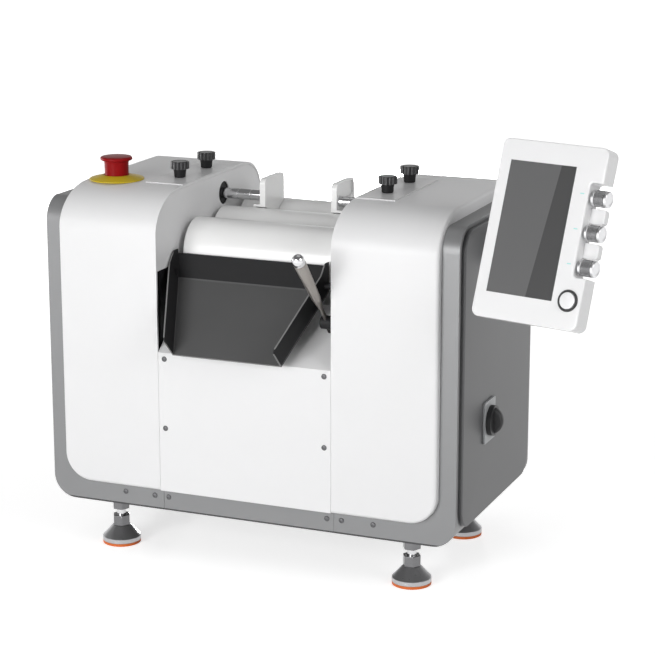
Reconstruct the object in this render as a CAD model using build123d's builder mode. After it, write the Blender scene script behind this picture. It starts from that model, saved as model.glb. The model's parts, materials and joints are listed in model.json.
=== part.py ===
from build123d import *
import os
from math import acos, cos, hypot, pi, radians, sin, tan

# A bench three-roll mill. Origin: on the bench, under the middle of the white covers.
# X runs to the operator's right, Y to the back, Z up. Sizes are in millimetres.
os.makedirs("parts", exist_ok=True)

# Overall size
frame_width = 550.0
cover_depth = 320.0
underside_z = 69.0
top_rise = 83.3
cover_proud_front = 10.0
cover_proud_back = 17.0
slab_drop = 15.0

# Sheet and cover sizes
side_slab = 22.0
skirt_height = 28.5
cover_wall = 3.0
cover_edge_round = 4.5
nose_depth = 75.0
nose_height = 50.0
tail_depth = 55.0
outer_corner = 30.0
inner_corner = 36.0
slab_top_round = 30.0
inner_sheet = 2.0
inner_sheet_drop = 12.7
fit = 0.3
cut_past = 1.0
panel_proud = 4.0
panel_groove = 6.0
panel_front_margin = 12.0
panel_edge_margin = 15.0
panel_low_margin = 19.0
panel_top_margin = 5.0
panel_round = 26.0
panel_rim_round = 1.8

# Rollers
roller_diameter = 80.0
roller_end_room = 10.0
nip_gap = 0.4
centre_roller_y = 20.4
roller_z = 393.7
core_diameter = 52.0
neck_diameter = 28.0
neck_window_room = 5.0
journal_diameter = 20.0
running_fit = 0.05
gap_travel = 0.5
roller_chamfer = 0.8
journal_past = 2.0

# Structure behind the covers
plate_thickness = 14.0
plate_top_room = 8.0
chassis_thickness = 8.0
tab_width = 14.0
tab_depth = 7.0
tab_height = 13.0
carriage_width = 38.0
carriage_height = 46.0
bearing_diameter = 34.0
adjuster_diameter = 8.0
adjuster_head = 13.0
adjuster_head_length = 5.0

# Gear train: two pairs in two planes, driven by one belt
gear_module = 2.0
small_teeth = 32
large_teeth = 48
gear_width = 12.0
gear_step = 16.0
gear_start = 27.0
backlash = 0.25
pressure_angle = 20.0
gear_tip_height = 1.9
gear_root_depth = 2.5
flank_steps = 3
motor_pulley_radius = 20.0
belt_ratio = 2.0
belt_width = 12.0
belt_thickness = 2.5
pulley_flange = 1.0
motor_z = 185.0
motor_diameter = 100.0
motor_length = 130.0
motor_shaft_diameter = 14.0
motor_shaft_depth = 10.0
motor_shaft_end_room = 1.0

# Service plates and thumbscrews
service_width = 52.0
service_front_y = -82.0
service_back_y = 74.0
service_sheet = 1.5
thumb_offset = 25.4
thumb_front_y = -38.0
thumb_head_diameter = 24.0
thumb_head_height = 10.0
thumb_neck_diameter = 15.5
thumb_neck_height = 12.5
thumb_stud_diameter = 6.0
thumb_ribs = 14
thumb_rib_diameter = 3.0
thumb_depth = 22.0
rail_width = 22.0
rail_height = 40.0
rail_front_y = -55.0
rail_back_y = 62.0

# Hopper cheeks on rods
rod_diameter = 14.0
rod_y = 40.4
rod_rise = 53.3
rod_window = 30.0
rod_end_room = 4.0
rod_boss_room = 1.0
rod_groove_places = (15.0, 33.0)
rod_groove_width = 1.2
rod_groove_depth = 0.5
cheek_width = 62.0
cheek_top_rise = 77.3
cheek_shoulder_rise = 52.3
cheek_low_rise = 28.3
cheek_round = 8.0
cheek_thickness = 8.0
cheek_dish_depth = 2.0
cheek_dish_rim = 6.0
cheek_lip_out = 9.0
cheek_lip_height = 3.0
cheek_lip_run = 18.0
left_cheek_x = -57.0
right_cheek_x = 43.0
cheek_clearance = 1.3

# Scraper tray
tray_left_room = 3.0
tray_low_shift = -1.0
tray_top_half = 103.5
tray_low_half = 73.5
tray_sheet = 2.0
tray_front_gap = 2.5
blade_thickness = 1.0
blade_gap = 0.4
blade_end_room = 5.0
blade_low = 26.0
blade_bend = 6.0
tray_back_height = 31.0
tray_floor_drop = 29.7
tray_run = 77.4
tray_drop = 80.4
tray_wall = 34.0
tray_shoulder_rise = 5.0
tray_corner = 12.0
tray_nose_round = 8.0
pivot_forward = 9.5
pivot_above_floor = 8.0
pivot_diameter = 8.0

# Release lever
lever_room = 28.0
lever_plate_room = 8.5
lever_y = -137.0
lever_drop = 60.7
lever_reach = 130.5
lever_lean = 43.5
lever_neck_diameter = 5.5
lever_neck_length = 32.0
lever_grip_start = 54.0
lever_grip_low_diameter = 11.4
lever_ball_diameter = 15.4
lever_hub_diameter = 17.0
lever_hub_width = 15.0
lever_pin_diameter = 8.0
lever_pin_past = 1.0
lever_tail = 20.0
lever_tail_width = 7.0

# Front and rear panels
panel_sheet = 3.5
panel_rib_depth = 10.0
panel_rib_room = 4.0
front_panel_drop = 114.7
front_slope = 35.0
front_slope_run = 85.0
rear_panel_drop = 63.7
screw_head_diameter = 7.0
screw_head_height = 1.6
screw_shank_diameter = 4.0
screw_length = 7.0
screw_socket = 3.0
front_screw_inward = 8.9
front_screw_high_drop = 8.0
front_screw_low_drop = 98.0
strip_screw_z = 86.6
strip_screw_outward = 53.3
strip_screw_past = 11.6
strip_screw_inward = 7.9
strip_screw_shift = -1.5

# Emergency stop
stop_outward = 4.15
stop_y = -72.5
stop_ring_diameter = 70.0
stop_ring_height = 6.2
stop_ring_rim = 1.5
stop_body_diameter = 31.0
stop_body_room = 0.5
stop_head_diameter = 41.0
stop_head_edge = 4.5
stop_rim_round = 1.5
stop_height = 29.5
stop_travel = 4.0
stop_stem_diameter = 12.0
stop_stem_room = 1.0
stop_base_diameter = 24.0
stop_base_height = 30.0

# Feet
foot_inset = 72.0
foot_front_y = -104.7
foot_back_y = 93.2
foot_pad_diameter = 50.0
foot_pad_height = 10.5
foot_pad_round = 1.5
foot_cone_step = 1.5
foot_cone_height = 13.5
foot_cone_top = 24.0
foot_nut_flats = 20.5
foot_nut_height = 14.0
foot_lock_height = 11.5
foot_stud_diameter = 12.0
foot_stud_top_z = 96.0
foot_boss_height = 11.0
foot_boss_wall = 8.0

# Main switch
switch_y = -43.5
switch_z = 204.0
switch_plate_width = 41.0
switch_plate_height = 53.0
switch_plate_thickness = 3.0
switch_plate_round = 3.0
switch_knob_diameter = 38.0
switch_knob_base = 6.0
switch_knob_depth = 17.0
switch_ridge_width = 9.0
switch_ridge_round = 3.0
switch_ridge_room = 1.0
switch_body_diameter = 31.0
switch_body_depth = 18.0
switch_stem_diameter = 8.0
switch_stem_depth = 6.0
switch_bore_depth = 9.0

# Control panel
screen_x = 373.6
screen_y = -192.3
screen_rise = 2.1
panel_yaw = -14.4
panel_tilt = 18.5
screen_width = 86.0
screen_height = 152.5
screen_border = 3.0
screen_depth = 8.0
panel_left = 58.0
panel_right = 80.0
panel_up = 101.0
panel_down = 106.0
panel_depth = 24.0
panel_split = 14.0
panel_corner = 9.0
panel_wall = 2.5
panel_edge_round = 2.0
notch_left = 63.5
notch_top = 61.0
notch_bottom = -46.0
notch_corner = 5.0
dial_diameter = 19.5
dial_length = 20.0
dial_room = 2.5
dial_pitch = 39.2
dial_first_v = 45.0
dial_axis_depth = 10.4
dial_shaft_diameter = 5.0
dial_shaft_past = 2.0
dial_edge_round = 1.0
divider_size = 17.5
divider_corner = 4.0
divider_past = 2.0
button_u = 63.5
button_v = -73.0
button_diameter = 19.0
button_proud = 3.0
button_depth = 9.0
button_edge_round = 1.0

# Panel arm
arm_base_y = -12.0
arm_base_drop = 42.0
arm_base_width = 40.0
arm_base_height = 60.0
arm_base_thickness = 6.0
arm_base_round = 4.0
arm_block_drop = 20.0
arm_pivot_out = 34.0
arm_pin_diameter = 12.0
arm_post_diameter = 30.0
arm_bar_width = 20.0
arm_bar_height = 14.0
arm_hub_height = 24.0
arm_elbow = 42.0
tilt_barrel = 20.0
tilt_barrel_length = 20.0
tilt_pin_diameter = 8.0
tilt_ear = 6.0
tilt_drop = 20.0
tilt_back = 22.0

# Mains inlet and power supply
inlet_inset = 48.0
inlet_z = 150.0
inlet_width = 50.0
inlet_height = 60.0
inlet_plate = 3.0
inlet_round = 3.0
inlet_body_depth = 25.0
socket_width = 26.0
socket_height = 19.0
socket_depth = 18.0
socket_wall = 3.75
socket_room = 1.25
inlet_pin_size = 3.0
inlet_pin_pitch = 7.0
supply_width = 50.0
supply_depth = 120.0
supply_height = 190.0
supply_chamfer = 2.0

# Values worked out from the sizes above
half_frame = frame_width / 2
gap_width = 2 * tray_top_half + tray_left_room + lever_room - 2 * (inner_sheet + fit)
half_gap = gap_width / 2
cover_front = -cover_depth / 2
cover_back = cover_depth / 2
frame_front = cover_front + cover_proud_front
frame_back = cover_back - cover_proud_back
cover_outer = half_frame - side_slab
top_z = roller_z + top_rise
slab_top_z = top_z - slab_drop
inner_sheet_low_z = roller_z - inner_sheet_drop
rod_z = roller_z + rod_rise
cheek_top_z = roller_z + cheek_top_rise
cheek_shoulder_z = roller_z + cheek_shoulder_rise
cheek_low_z = roller_z + cheek_low_rise
tray_floor_top_z = roller_z - tray_floor_drop
lever_z = roller_z - lever_drop
front_panel_top_z = roller_z - front_panel_drop
rear_panel_top_z = roller_z - rear_panel_drop
front_screw_zs = (front_panel_top_z - front_screw_high_drop, front_panel_top_z - front_screw_low_drop)
screen_z = top_z + screen_rise
arm_base_z = slab_top_z - arm_base_drop
skirt_top_z = underside_z + skirt_height
chassis_low_z = underside_z + cover_wall
chassis_top_z = chassis_low_z + chassis_thickness
inside_front = frame_front + cover_wall + fit
inside_back = frame_back - cover_wall - fit
roller_radius = roller_diameter / 2
roller_pitch = roller_diameter + nip_gap
apron_y = centre_roller_y - roller_pitch
feed_y = centre_roller_y + roller_pitch
nip_y = centre_roller_y + roller_pitch / 2
plate_inner = half_gap + inner_sheet + fit
plate_outer = plate_inner + plate_thickness
plate_middle = plate_inner + plate_thickness / 2
roller_length = 2 * (plate_inner - roller_end_room)
tray_centre_x = -plate_inner + tray_left_room + tray_top_half
lever_x = plate_inner - lever_plate_room - lever_hub_width / 2
front_screw_x = half_gap - front_screw_inward
strip_screw_out_x = half_gap + strip_screw_outward
strip_screw_mid_x = half_gap + strip_screw_past
strip_screw_in_x = half_gap - strip_screw_inward
journal_radius = journal_diameter / 2
journal_bore = journal_radius + running_fit
carriage_reach = carriage_width / 2
gear_a_x = plate_outer + gear_start
gear_b_x = gear_a_x + gear_step
belt_x = gear_b_x + gear_step
belt_room = belt_width + 2 * fit
shaft_pulley_radius = motor_pulley_radius * belt_ratio
thumb_x = half_gap + thumb_offset
stop_x = -((half_gap + service_width + cover_outer) / 2 + stop_outward)
foot_x = half_frame - foot_inset
inlet_x = cover_outer - inlet_inset
service_top_z = top_z + service_sheet
rail_top_z = top_z - cover_wall - fit
foot_places = [(x, y) for x in (-foot_x, foot_x) for y in (foot_front_y, foot_back_y)]


def side_plane(x):
    return Plane(origin=(x, 0, 0), x_dir=(0, 1, 0), z_dir=(1, 0, 0))


def front_plane(y):
    return Plane(origin=(0, y, 0), x_dir=(1, 0, 0), z_dir=(0, -1, 0))


def level_plane(z):
    return Plane.XY.offset(z)


def finish(part, name):
    part.label = name
    export_step(part, "parts/" + name + ".step")


def cover_profile(inset, low):
    # Side view of a column cover, its nose and tail drawn as quarter ellipses
    nose_top = cover_front + nose_depth
    tail_top = cover_back - tail_depth
    nose_low = top_z - nose_height
    front = cover_front + inset
    back = cover_back - inset
    top = top_z - inset
    rise = nose_height - inset
    with BuildSketch() as profile:
        with BuildLine():
            Line((front, low), (front, nose_low))
            EllipticalCenterArc((nose_top, nose_low), nose_depth - inset, rise, 180, arc_size=-90)
            Line((nose_top, top), (tail_top, top))
            EllipticalCenterArc((tail_top, nose_low), tail_depth - inset, rise, 90, arc_size=-90)
            Line((back, nose_low), (back, low))
            Line((back, low), (front, low))
        make_face()
    return profile.sketch_local


def column_block(side, outer_x, inset, low, edge_round, low_corner):
    # Solid of one column, rounded along its outer rim and its low outer corner
    with BuildPart() as column:
        with BuildSketch(side_plane(side * half_gap)):
            add(cover_profile(inset, low))
        extrude(amount=side * (outer_x - half_gap))
        low_edges = column.edges().filter_by(Axis.Y).group_by(Axis.Z)[0]
        fillet(low_edges.sort_by(Axis.X)[-1 if side > 0 else 0], low_corner)
        outer_face = column.faces().filter_by(Axis.X).sort_by(Axis.X)[-1 if side > 0 else 0]
        low_z = outer_face.bounding_box().min.Z
        rim = [edge for edge in outer_face.edges() if edge.center().Z > low_z + fit]
        fillet(rim, edge_round)
    return column.part


def bar(start, end, diameter):
    # Round bar between two points
    with BuildPart() as piece:
        direction = Vector(*end) - Vector(*start)
        with BuildSketch(Plane(origin=start, z_dir=direction)):
            Circle(diameter / 2)
        extrude(amount=direction.length)
    return piece.part


def ring_bar(start, end, diameter, bore):
    # Round bar with a hole through it
    with BuildPart() as piece:
        direction = Vector(*end) - Vector(*start)
        with BuildSketch(Plane(origin=start, z_dir=direction)):
            Circle(diameter / 2)
            Circle(bore / 2, mode=Mode.SUBTRACT)
        extrude(amount=direction.length)
    return piece.part


def hexagon_radius(flats):
    return flats / 2 / cos(radians(30))


def gear_outline(teeth, phase):
    # Involute flanks up to the tip, with straight lines down to the root
    pitch = gear_module * teeth / 2
    base = pitch * cos(radians(pressure_angle))
    tip = pitch + gear_tip_height
    root = pitch - gear_root_depth
    start = max(base, root)
    pressure = tan(radians(pressure_angle)) - radians(pressure_angle)
    half_tooth = pi / (2 * teeth) - backlash / (2 * pitch)
    flank = []
    for step in range(flank_steps + 1):
        radius = start + (tip - start) * step / flank_steps
        angle = acos(min(1.0, base / radius))
        flank.append((radius, half_tooth + pressure - (tan(angle) - angle)))
    points = []
    for tooth in range(teeth):
        middle = 2 * pi * tooth / teeth + phase
        rising = [(radius, -turn) for radius, turn in flank]
        falling = [(radius, turn) for radius, turn in reversed(flank)]
        if start > root:
            rising = [(root, -flank[0][1])] + rising
            falling = falling + [(root, flank[0][1])]
        for radius, turn in rising + falling:
            points.append((radius * cos(middle + turn), radius * sin(middle + turn)))
    return points


def drive_plane(y, z, x):
    # Plane across a shaft of the drive, facing the left side
    return Plane(origin=(-x, y, z), x_dir=(0, 1, 0), z_dir=(-1, 0, 0))


def gear(y, start_x, teeth, phase):
    with BuildPart() as wheel:
        with BuildSketch(drive_plane(y, roller_z, start_x)):
            with BuildLine():
                Polyline(*gear_outline(teeth, phase), close=True)
            make_face()
        extrude(amount=gear_width)
    return wheel.part


def pulley(z, radius):
    with BuildPart() as wheel:
        with BuildSketch(drive_plane(centre_roller_y, z, belt_x)):
            Circle(radius)
        extrude(amount=belt_room)
        for x in (belt_x - pulley_flange, belt_x + belt_room):
            with BuildSketch(drive_plane(centre_roller_y, z, x)):
                Circle(radius + belt_thickness + pulley_flange)
            extrude(amount=pulley_flange)
    return wheel.part


def side_panel_sketch(margin):
    front = frame_front + panel_front_margin - margin
    back = frame_back - panel_edge_margin + margin
    low = underside_z + panel_low_margin - margin
    high = slab_top_z - panel_top_margin + margin
    with BuildSketch() as outline:
        with Locations(((front + back) / 2, (low + high) / 2)):
            RectangleRounded(back - front, high - low, panel_round + margin)
    return outline.sketch_local


# Chassis plate with foot bosses and tabs for the strip screws
with BuildPart() as chassis_plate:
    with BuildSketch(level_plane(chassis_low_z)):
        with Locations((0, (inside_front + inside_back) / 2)):
            Rectangle(2 * (half_frame - outer_corner - fit), inside_back - inside_front)
    extrude(amount=chassis_thickness)
    with BuildSketch(level_plane(underside_z - foot_boss_height)):
        with Locations(*foot_places):
            Circle(foot_stud_diameter / 2 + foot_boss_wall)
    extrude(amount=foot_boss_height + cover_wall)
    with BuildSketch(level_plane(underside_z - foot_boss_height)):
        with Locations(*foot_places):
            Circle(foot_stud_diameter / 2 + running_fit)
    extrude(amount=foot_boss_height + cover_wall + chassis_thickness, mode=Mode.SUBTRACT)
    tab_xs = (strip_screw_out_x, strip_screw_in_x)
    tab_places = [side * x + strip_screw_shift for side in (-1, 1) for x in tab_xs]
    with BuildSketch(level_plane(chassis_top_z)):
        with Locations(*[(x, inside_front + tab_depth / 2) for x in tab_places]):
            Rectangle(tab_width, tab_depth)
    extrude(amount=tab_height)
    with BuildSketch(front_plane(inside_front)):
        with Locations(*[(x, strip_screw_z) for x in tab_places]):
            Circle(screw_shank_diameter / 2 + running_fit)
    extrude(amount=-tab_depth, mode=Mode.SUBTRACT)
finish(chassis_plate.part, "chassis_plate")


def side_cover_block(side, inner_x, outer_x, front, back, low, high, low_round, top_round):
    # Block with its low outer corner and its top front and rear corners rounded
    with BuildPart() as block:
        with BuildSketch(front_plane(front)):
            with Locations((side * (inner_x + outer_x) / 2, (low + high) / 2)):
                Rectangle(outer_x - inner_x, high - low)
        extrude(amount=front - back)
        low_edges = block.edges().filter_by(Axis.Y).group_by(Axis.Z)[0]
        fillet(low_edges.sort_by(Axis.X)[-1 if side > 0 else 0], low_round)
        fillet(block.edges().filter_by(Axis.X).group_by(Axis.Z)[-1], top_round)
    return block.part


# Grey side covers: L-shaped in front view, hollow towards the columns
for side, name in ((-1, "left_side_cover"), (1, "right_side_cover")):
    seam_x = half_gap + fit / 2
    with BuildPart() as side_cover:
        add(side_cover_block(
            side, seam_x, half_frame, frame_front, frame_back,
            underside_z, slab_top_z, outer_corner, slab_top_round,
        ))
        with BuildSketch(front_plane(frame_front)):
            with Locations((side * (seam_x + cover_outer + fit) / 2, (skirt_top_z + top_z) / 2)):
                Rectangle(cover_outer + fit - seam_x, top_z - skirt_top_z + 2 * fit)
            notch = vertices().group_by(Axis.Y)[0].sort_by(Axis.X)[-1 if side > 0 else 0]
            fillet(notch, inner_corner + fit)
        extrude(amount=frame_front - frame_back, mode=Mode.SUBTRACT)
        add(side_cover_block(
            side, seam_x - cut_past, half_frame - cover_wall, frame_front + cover_wall,
            frame_back - cover_wall, underside_z + cover_wall, slab_top_z - cover_wall,
            outer_corner - cover_wall, slab_top_round - cover_wall,
        ), mode=Mode.SUBTRACT)
        with BuildSketch(side_plane(side * half_frame)):
            add(side_panel_sketch(panel_groove))
        extrude(amount=-side * cover_wall / 2, mode=Mode.SUBTRACT)
        with BuildSketch(level_plane(underside_z)):
            with Locations((side * foot_x, foot_front_y), (side * foot_x, foot_back_y)):
                Circle(foot_stud_diameter / 2 + foot_boss_wall + fit)
        extrude(amount=cover_wall, mode=Mode.SUBTRACT)
        with BuildSketch(front_plane(frame_front)):
            cover_screw_xs = (strip_screw_out_x, strip_screw_mid_x)
            with Locations(*[(side * x + strip_screw_shift, strip_screw_z) for x in cover_screw_xs]):
                Circle(screw_shank_diameter / 2 + running_fit)
        extrude(amount=-cover_wall, mode=Mode.SUBTRACT)
        if side > 0:
            with BuildSketch(side_plane(half_frame)):
                with Locations((switch_y, switch_z)):
                    Circle(switch_body_diameter / 2 + fit)
            extrude(amount=-cover_wall, mode=Mode.SUBTRACT)
    finish(side_cover.part, name)

# Inset panels on the outer sides
with BuildPart() as side_panels:
    for side in (-1, 1):
        with BuildSketch(side_plane(side * (half_frame - cover_wall / 2))):
            add(side_panel_sketch(0))
        extrude(amount=side * (panel_proud + cover_wall / 2))
        outer_face = side_panels.faces().filter_by(Axis.X).sort_by(Axis.X)[-1 if side > 0 else 0]
        fillet(outer_face.edges(), panel_rim_round)
    with BuildSketch(side_plane(half_frame + panel_proud)):
        with Locations((switch_y, switch_z)):
            Circle(switch_body_diameter / 2 + fit)
    extrude(amount=-(panel_proud + cover_wall), mode=Mode.SUBTRACT)
finish(side_panels.part, "side_panels")

# White column covers: shells open at the bottom and towards the rollers
for side, name in ((-1, "left_column_cover"), (1, "right_column_cover")):
    with BuildPart() as column_cover:
        add(column_block(side, cover_outer, 0, skirt_top_z, cover_edge_round, inner_corner))
        add(column_block(
            side, cover_outer - cover_wall, cover_wall, skirt_top_z + cover_wall,
            cover_edge_round - cover_wall, inner_corner - cover_wall,
        ), mode=Mode.SUBTRACT)
        opening_outer = cover_outer - inner_corner
        with BuildSketch(level_plane(skirt_top_z)):
            with Locations((side * (half_gap + opening_outer) / 2, (inside_front + inside_back) / 2)):
                Rectangle(opening_outer - half_gap, inside_back - inside_front + 2 * fit)
        extrude(amount=cover_wall, mode=Mode.SUBTRACT)
        with BuildSketch(level_plane(top_z - cover_wall)):
            with Locations((side * thumb_x, thumb_front_y), (side * thumb_x, rod_y)):
                Circle(thumb_stud_diameter / 2 + fit)
            if side < 0:
                with Locations((stop_x, stop_y)):
                    Circle(stop_stem_diameter / 2 + stop_stem_room)
        extrude(amount=cover_wall, mode=Mode.SUBTRACT)
        if side > 0:
            with BuildSketch(front_plane(cover_back)):
                with Locations((inlet_x, inlet_z)):
                    Rectangle(
                        socket_width + 2 * (socket_wall + socket_room),
                        socket_height + 2 * (socket_wall + socket_room),
                    )
            extrude(amount=cover_wall, mode=Mode.SUBTRACT)
    finish(column_cover.part, name)

# White inner side sheets with a window for the rod and slots for the roller necks
with BuildPart() as inner_covers:
    for side in (-1, 1):
        with BuildSketch(side_plane(side * (half_gap + fit))):
            add(cover_profile(cover_wall + fit, inner_sheet_low_z))
            with Locations((rod_y, rod_z)):
                Circle(rod_window / 2, mode=Mode.SUBTRACT)
            neck_places = [(y, roller_z) for y in (apron_y, centre_roller_y, feed_y)]
            slot_radius = neck_diameter / 2 + neck_window_room
            with Locations(*neck_places):
                Circle(slot_radius, mode=Mode.SUBTRACT)
            with Locations(*[(y, roller_z - slot_radius) for y, z in neck_places]):
                Rectangle(2 * slot_radius, 2 * slot_radius, mode=Mode.SUBTRACT)
        extrude(amount=side * (inner_sheet - fit))
finish(inner_covers.part, "inner_covers")

# Bearing plates that carry the rollers, the tray and the lever
window_length = carriage_width + 2 * fit + gap_travel
with BuildPart() as bearing_plates:
    for side in (-1, 1):
        with BuildSketch(side_plane(side * plate_inner)):
            add(cover_profile(cover_wall + plate_top_room, chassis_top_z))
            with Locations(((inside_front + inside_back) / 2, top_z / 2)):
                Rectangle(inside_back - inside_front, top_z, mode=Mode.INTERSECT)
            for y, outward in ((apron_y, -1), (feed_y, 1)):
                with Locations((y + outward * gap_travel / 2, roller_z)):
                    Rectangle(window_length, carriage_height + 2 * running_fit, mode=Mode.SUBTRACT)
            with Locations((centre_roller_y, roller_z)):
                Circle(bearing_diameter / 2, mode=Mode.SUBTRACT)
            with Locations((rod_y, rod_z)):
                Circle(rod_diameter / 2 + fit, mode=Mode.SUBTRACT)
            if side < 0:
                with Locations((centre_roller_y, motor_z)):
                    Circle(motor_pulley_radius, mode=Mode.SUBTRACT)
        extrude(amount=side * plate_thickness)
    adjuster_places = [(side * plate_middle, roller_z) for side in (-1, 1)]
    for start, end in ((inside_front, apron_y), (inside_back, feed_y)):
        with BuildSketch(front_plane(start)):
            with Locations(*adjuster_places):
                Circle(adjuster_diameter / 2 + running_fit)
        extrude(amount=start - end, mode=Mode.SUBTRACT)
    with BuildSketch(front_plane(inside_front)):
        with Locations(*[(side * strip_screw_mid_x + strip_screw_shift, strip_screw_z) for side in (-1, 1)]):
            Circle(screw_shank_diameter / 2 + running_fit)
    extrude(amount=-screw_length, mode=Mode.SUBTRACT)
finish(bearing_plates.part, "bearing_plates")

# Clamp rails that guide the rods and take the thumbscrews
rail_middle = (rail_front_y + rail_back_y) / 2
with BuildPart() as clamp_rails:
    with BuildSketch(level_plane(rail_top_z)):
        with Locations(*[(side * (plate_outer + rail_width / 2), rail_middle) for side in (-1, 1)]):
            Rectangle(rail_width, rail_back_y - rail_front_y)
    extrude(amount=-rail_height)
    with BuildSketch(level_plane(rail_top_z)):
        with Locations(*[(side * thumb_x, y) for side in (-1, 1) for y in (thumb_front_y, rod_y)]):
            Circle(thumb_stud_diameter / 2 + running_fit)
    extrude(amount=-thumb_depth, mode=Mode.SUBTRACT)
    with BuildSketch(side_plane(-plate_outer - rail_width)):
        with Locations((rod_y, rod_z)):
            Circle(rod_diameter / 2 + running_fit)
    extrude(amount=2 * (plate_outer + rail_width), mode=Mode.SUBTRACT)
finish(clamp_rails.part, "clamp_rails")

# Bearings of the centre roller
with BuildPart() as centre_bearings:
    for side in (-1, 1):
        add(ring_bar(
            (side * plate_inner, centre_roller_y, roller_z),
            (side * plate_outer, centre_roller_y, roller_z),
            bearing_diameter, 2 * journal_bore,
        ))
finish(centre_bearings.part, "centre_bearings")

# Sliding bearing carriages
for y, name in ((apron_y, "apron_carriages"), (feed_y, "feed_carriages")):
    with BuildPart() as carriages:
        for side in (-1, 1):
            with BuildSketch(side_plane(side * plate_inner)):
                with Locations((y, roller_z)):
                    Rectangle(carriage_width, carriage_height)
                    Circle(journal_bore, mode=Mode.SUBTRACT)
            extrude(amount=side * plate_thickness)
    finish(carriages.part, name)

# Screws that set the two roller gaps
with BuildPart() as gap_adjusters:
    for y, outward, edge in ((apron_y, -1, inside_front), (feed_y, 1, inside_back)):
        tip = y + outward * (carriage_reach + fit + gap_travel)
        head_end = edge + outward * adjuster_head_length
        for side in (-1, 1):
            x = side * plate_middle
            add(bar((x, tip, roller_z), (x, edge, roller_z), adjuster_diameter))
            add(bar((x, edge, roller_z), (x, head_end, roller_z), adjuster_head))
finish(gap_adjusters.part, "gap_adjusters")

# Rollers
roller_half = roller_length / 2
roller_places = (
    (apron_y, "apron_roller"), (centre_roller_y, "centre_roller"), (feed_y, "feed_roller"),
)
for y, name in roller_places:
    with BuildPart() as roller:
        with BuildSketch(side_plane(-roller_half)):
            with Locations((y, roller_z)):
                Circle(roller_radius)
                Circle(core_diameter / 2 + running_fit, mode=Mode.SUBTRACT)
        extrude(amount=roller_length)
        rims = roller.edges().filter_by(GeomType.CIRCLE)
        chamfer([edge for edge in rims if edge.radius > roller_radius - fit], roller_chamfer)
    finish(roller.part, name)


def shaft_body(y, left_end):
    # Core, necks and journals of one roller shaft
    core_half = roller_half - inner_sheet
    neck_half = plate_inner - fit
    with BuildPart() as shaft:
        add(bar((-core_half, y, roller_z), (core_half, y, roller_z), core_diameter))
        add(bar((-neck_half, y, roller_z), (neck_half, y, roller_z), neck_diameter))
        add(bar((-left_end, y, roller_z), (plate_outer + journal_past, y, roller_z), journal_diameter))
    return shaft.part


# Roller shafts with their gears
with BuildPart() as apron_shaft:
    add(shaft_body(apron_y, gear_a_x + gear_width))
    add(gear(apron_y, gear_a_x, small_teeth, pi / small_teeth))
finish(apron_shaft.part, "apron_shaft")

with BuildPart() as centre_shaft:
    add(shaft_body(centre_roller_y, belt_x + belt_room + pulley_flange))
    add(gear(centre_roller_y, gear_a_x, large_teeth, 0))
    add(gear(centre_roller_y, gear_b_x, small_teeth, 0))
    add(pulley(roller_z, shaft_pulley_radius))
finish(centre_shaft.part, "centre_shaft")

with BuildPart() as feed_shaft:
    add(shaft_body(feed_y, gear_b_x + gear_width))
    add(gear(feed_y, gear_b_x, large_teeth, pi / large_teeth))
finish(feed_shaft.part, "feed_shaft")

# Motor, its pulley on a shaft, and the belt
motor_end_x = -plate_inner + motor_length
with BuildPart() as drive_motor:
    add(bar(
        (-plate_inner, centre_roller_y, motor_z), (motor_end_x, centre_roller_y, motor_z), motor_diameter,
    ))
    add(bar(
        (-plate_inner, centre_roller_y, motor_z),
        (-plate_inner + motor_shaft_depth, centre_roller_y, motor_z),
        motor_shaft_diameter + 2 * running_fit,
    ), mode=Mode.SUBTRACT)
finish(drive_motor.part, "drive_motor")

with BuildPart() as motor_pulley:
    add(pulley(motor_z, motor_pulley_radius))
    add(bar(
        (-belt_x - belt_room, centre_roller_y, motor_z),
        (-plate_inner + motor_shaft_depth - motor_shaft_end_room, centre_roller_y, motor_z),
        motor_shaft_diameter,
    ))
finish(motor_pulley.part, "motor_pulley")


def belt_loop(extra):
    with BuildSketch() as loop:
        with Locations((centre_roller_y, -motor_z)):
            Circle(motor_pulley_radius + extra)
        with Locations((centre_roller_y, -roller_z)):
            Circle(shaft_pulley_radius + extra)
        make_hull(loop.edges())
    return loop.sketch_local


with BuildPart() as drive_belt:
    with BuildSketch(drive_plane(0, 0, belt_x + fit)):
        add(belt_loop(running_fit + belt_thickness))
        add(belt_loop(running_fit), mode=Mode.SUBTRACT)
    extrude(amount=belt_width)
finish(drive_belt.part, "drive_belt")

# Service plates on the column tops
with BuildPart() as service_plates:
    with BuildSketch(level_plane(top_z)):
        for side in (-1, 1):
            service_x = side * (half_gap + service_width / 2)
            with Locations((service_x, (service_front_y + service_back_y) / 2)):
                Rectangle(service_width, service_back_y - service_front_y)
            with Locations((side * thumb_x, thumb_front_y), (side * thumb_x, rod_y)):
                Circle(thumb_stud_diameter / 2 + fit, mode=Mode.SUBTRACT)
    extrude(amount=service_sheet)
finish(service_plates.part, "service_plates")

# Ribbed thumbscrews
thumb_places = (
    (-1, thumb_front_y, "thumbscrew_left_front"), (-1, rod_y, "thumbscrew_left_rear"),
    (1, thumb_front_y, "thumbscrew_right_front"), (1, rod_y, "thumbscrew_right_rear"),
)
neck_top_z = top_z + thumb_neck_height
stud_low_z = rod_z + rod_diameter / 2 + 2 * fit
for side, y, name in thumb_places:
    x = side * thumb_x
    with BuildPart() as thumbscrew:
        add(bar((x, y, stud_low_z), (x, y, neck_top_z), thumb_stud_diameter))
        add(bar((x, y, service_top_z + fit), (x, y, neck_top_z), thumb_neck_diameter))
        with BuildSketch(level_plane(neck_top_z)):
            with Locations((x, y)):
                Circle(thumb_head_diameter / 2 - thumb_rib_diameter / 2)
                with PolarLocations(thumb_head_diameter / 2 - thumb_rib_diameter / 2, thumb_ribs):
                    Circle(thumb_rib_diameter / 2)
        extrude(amount=thumb_head_height)
    finish(thumbscrew.part, name)

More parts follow.
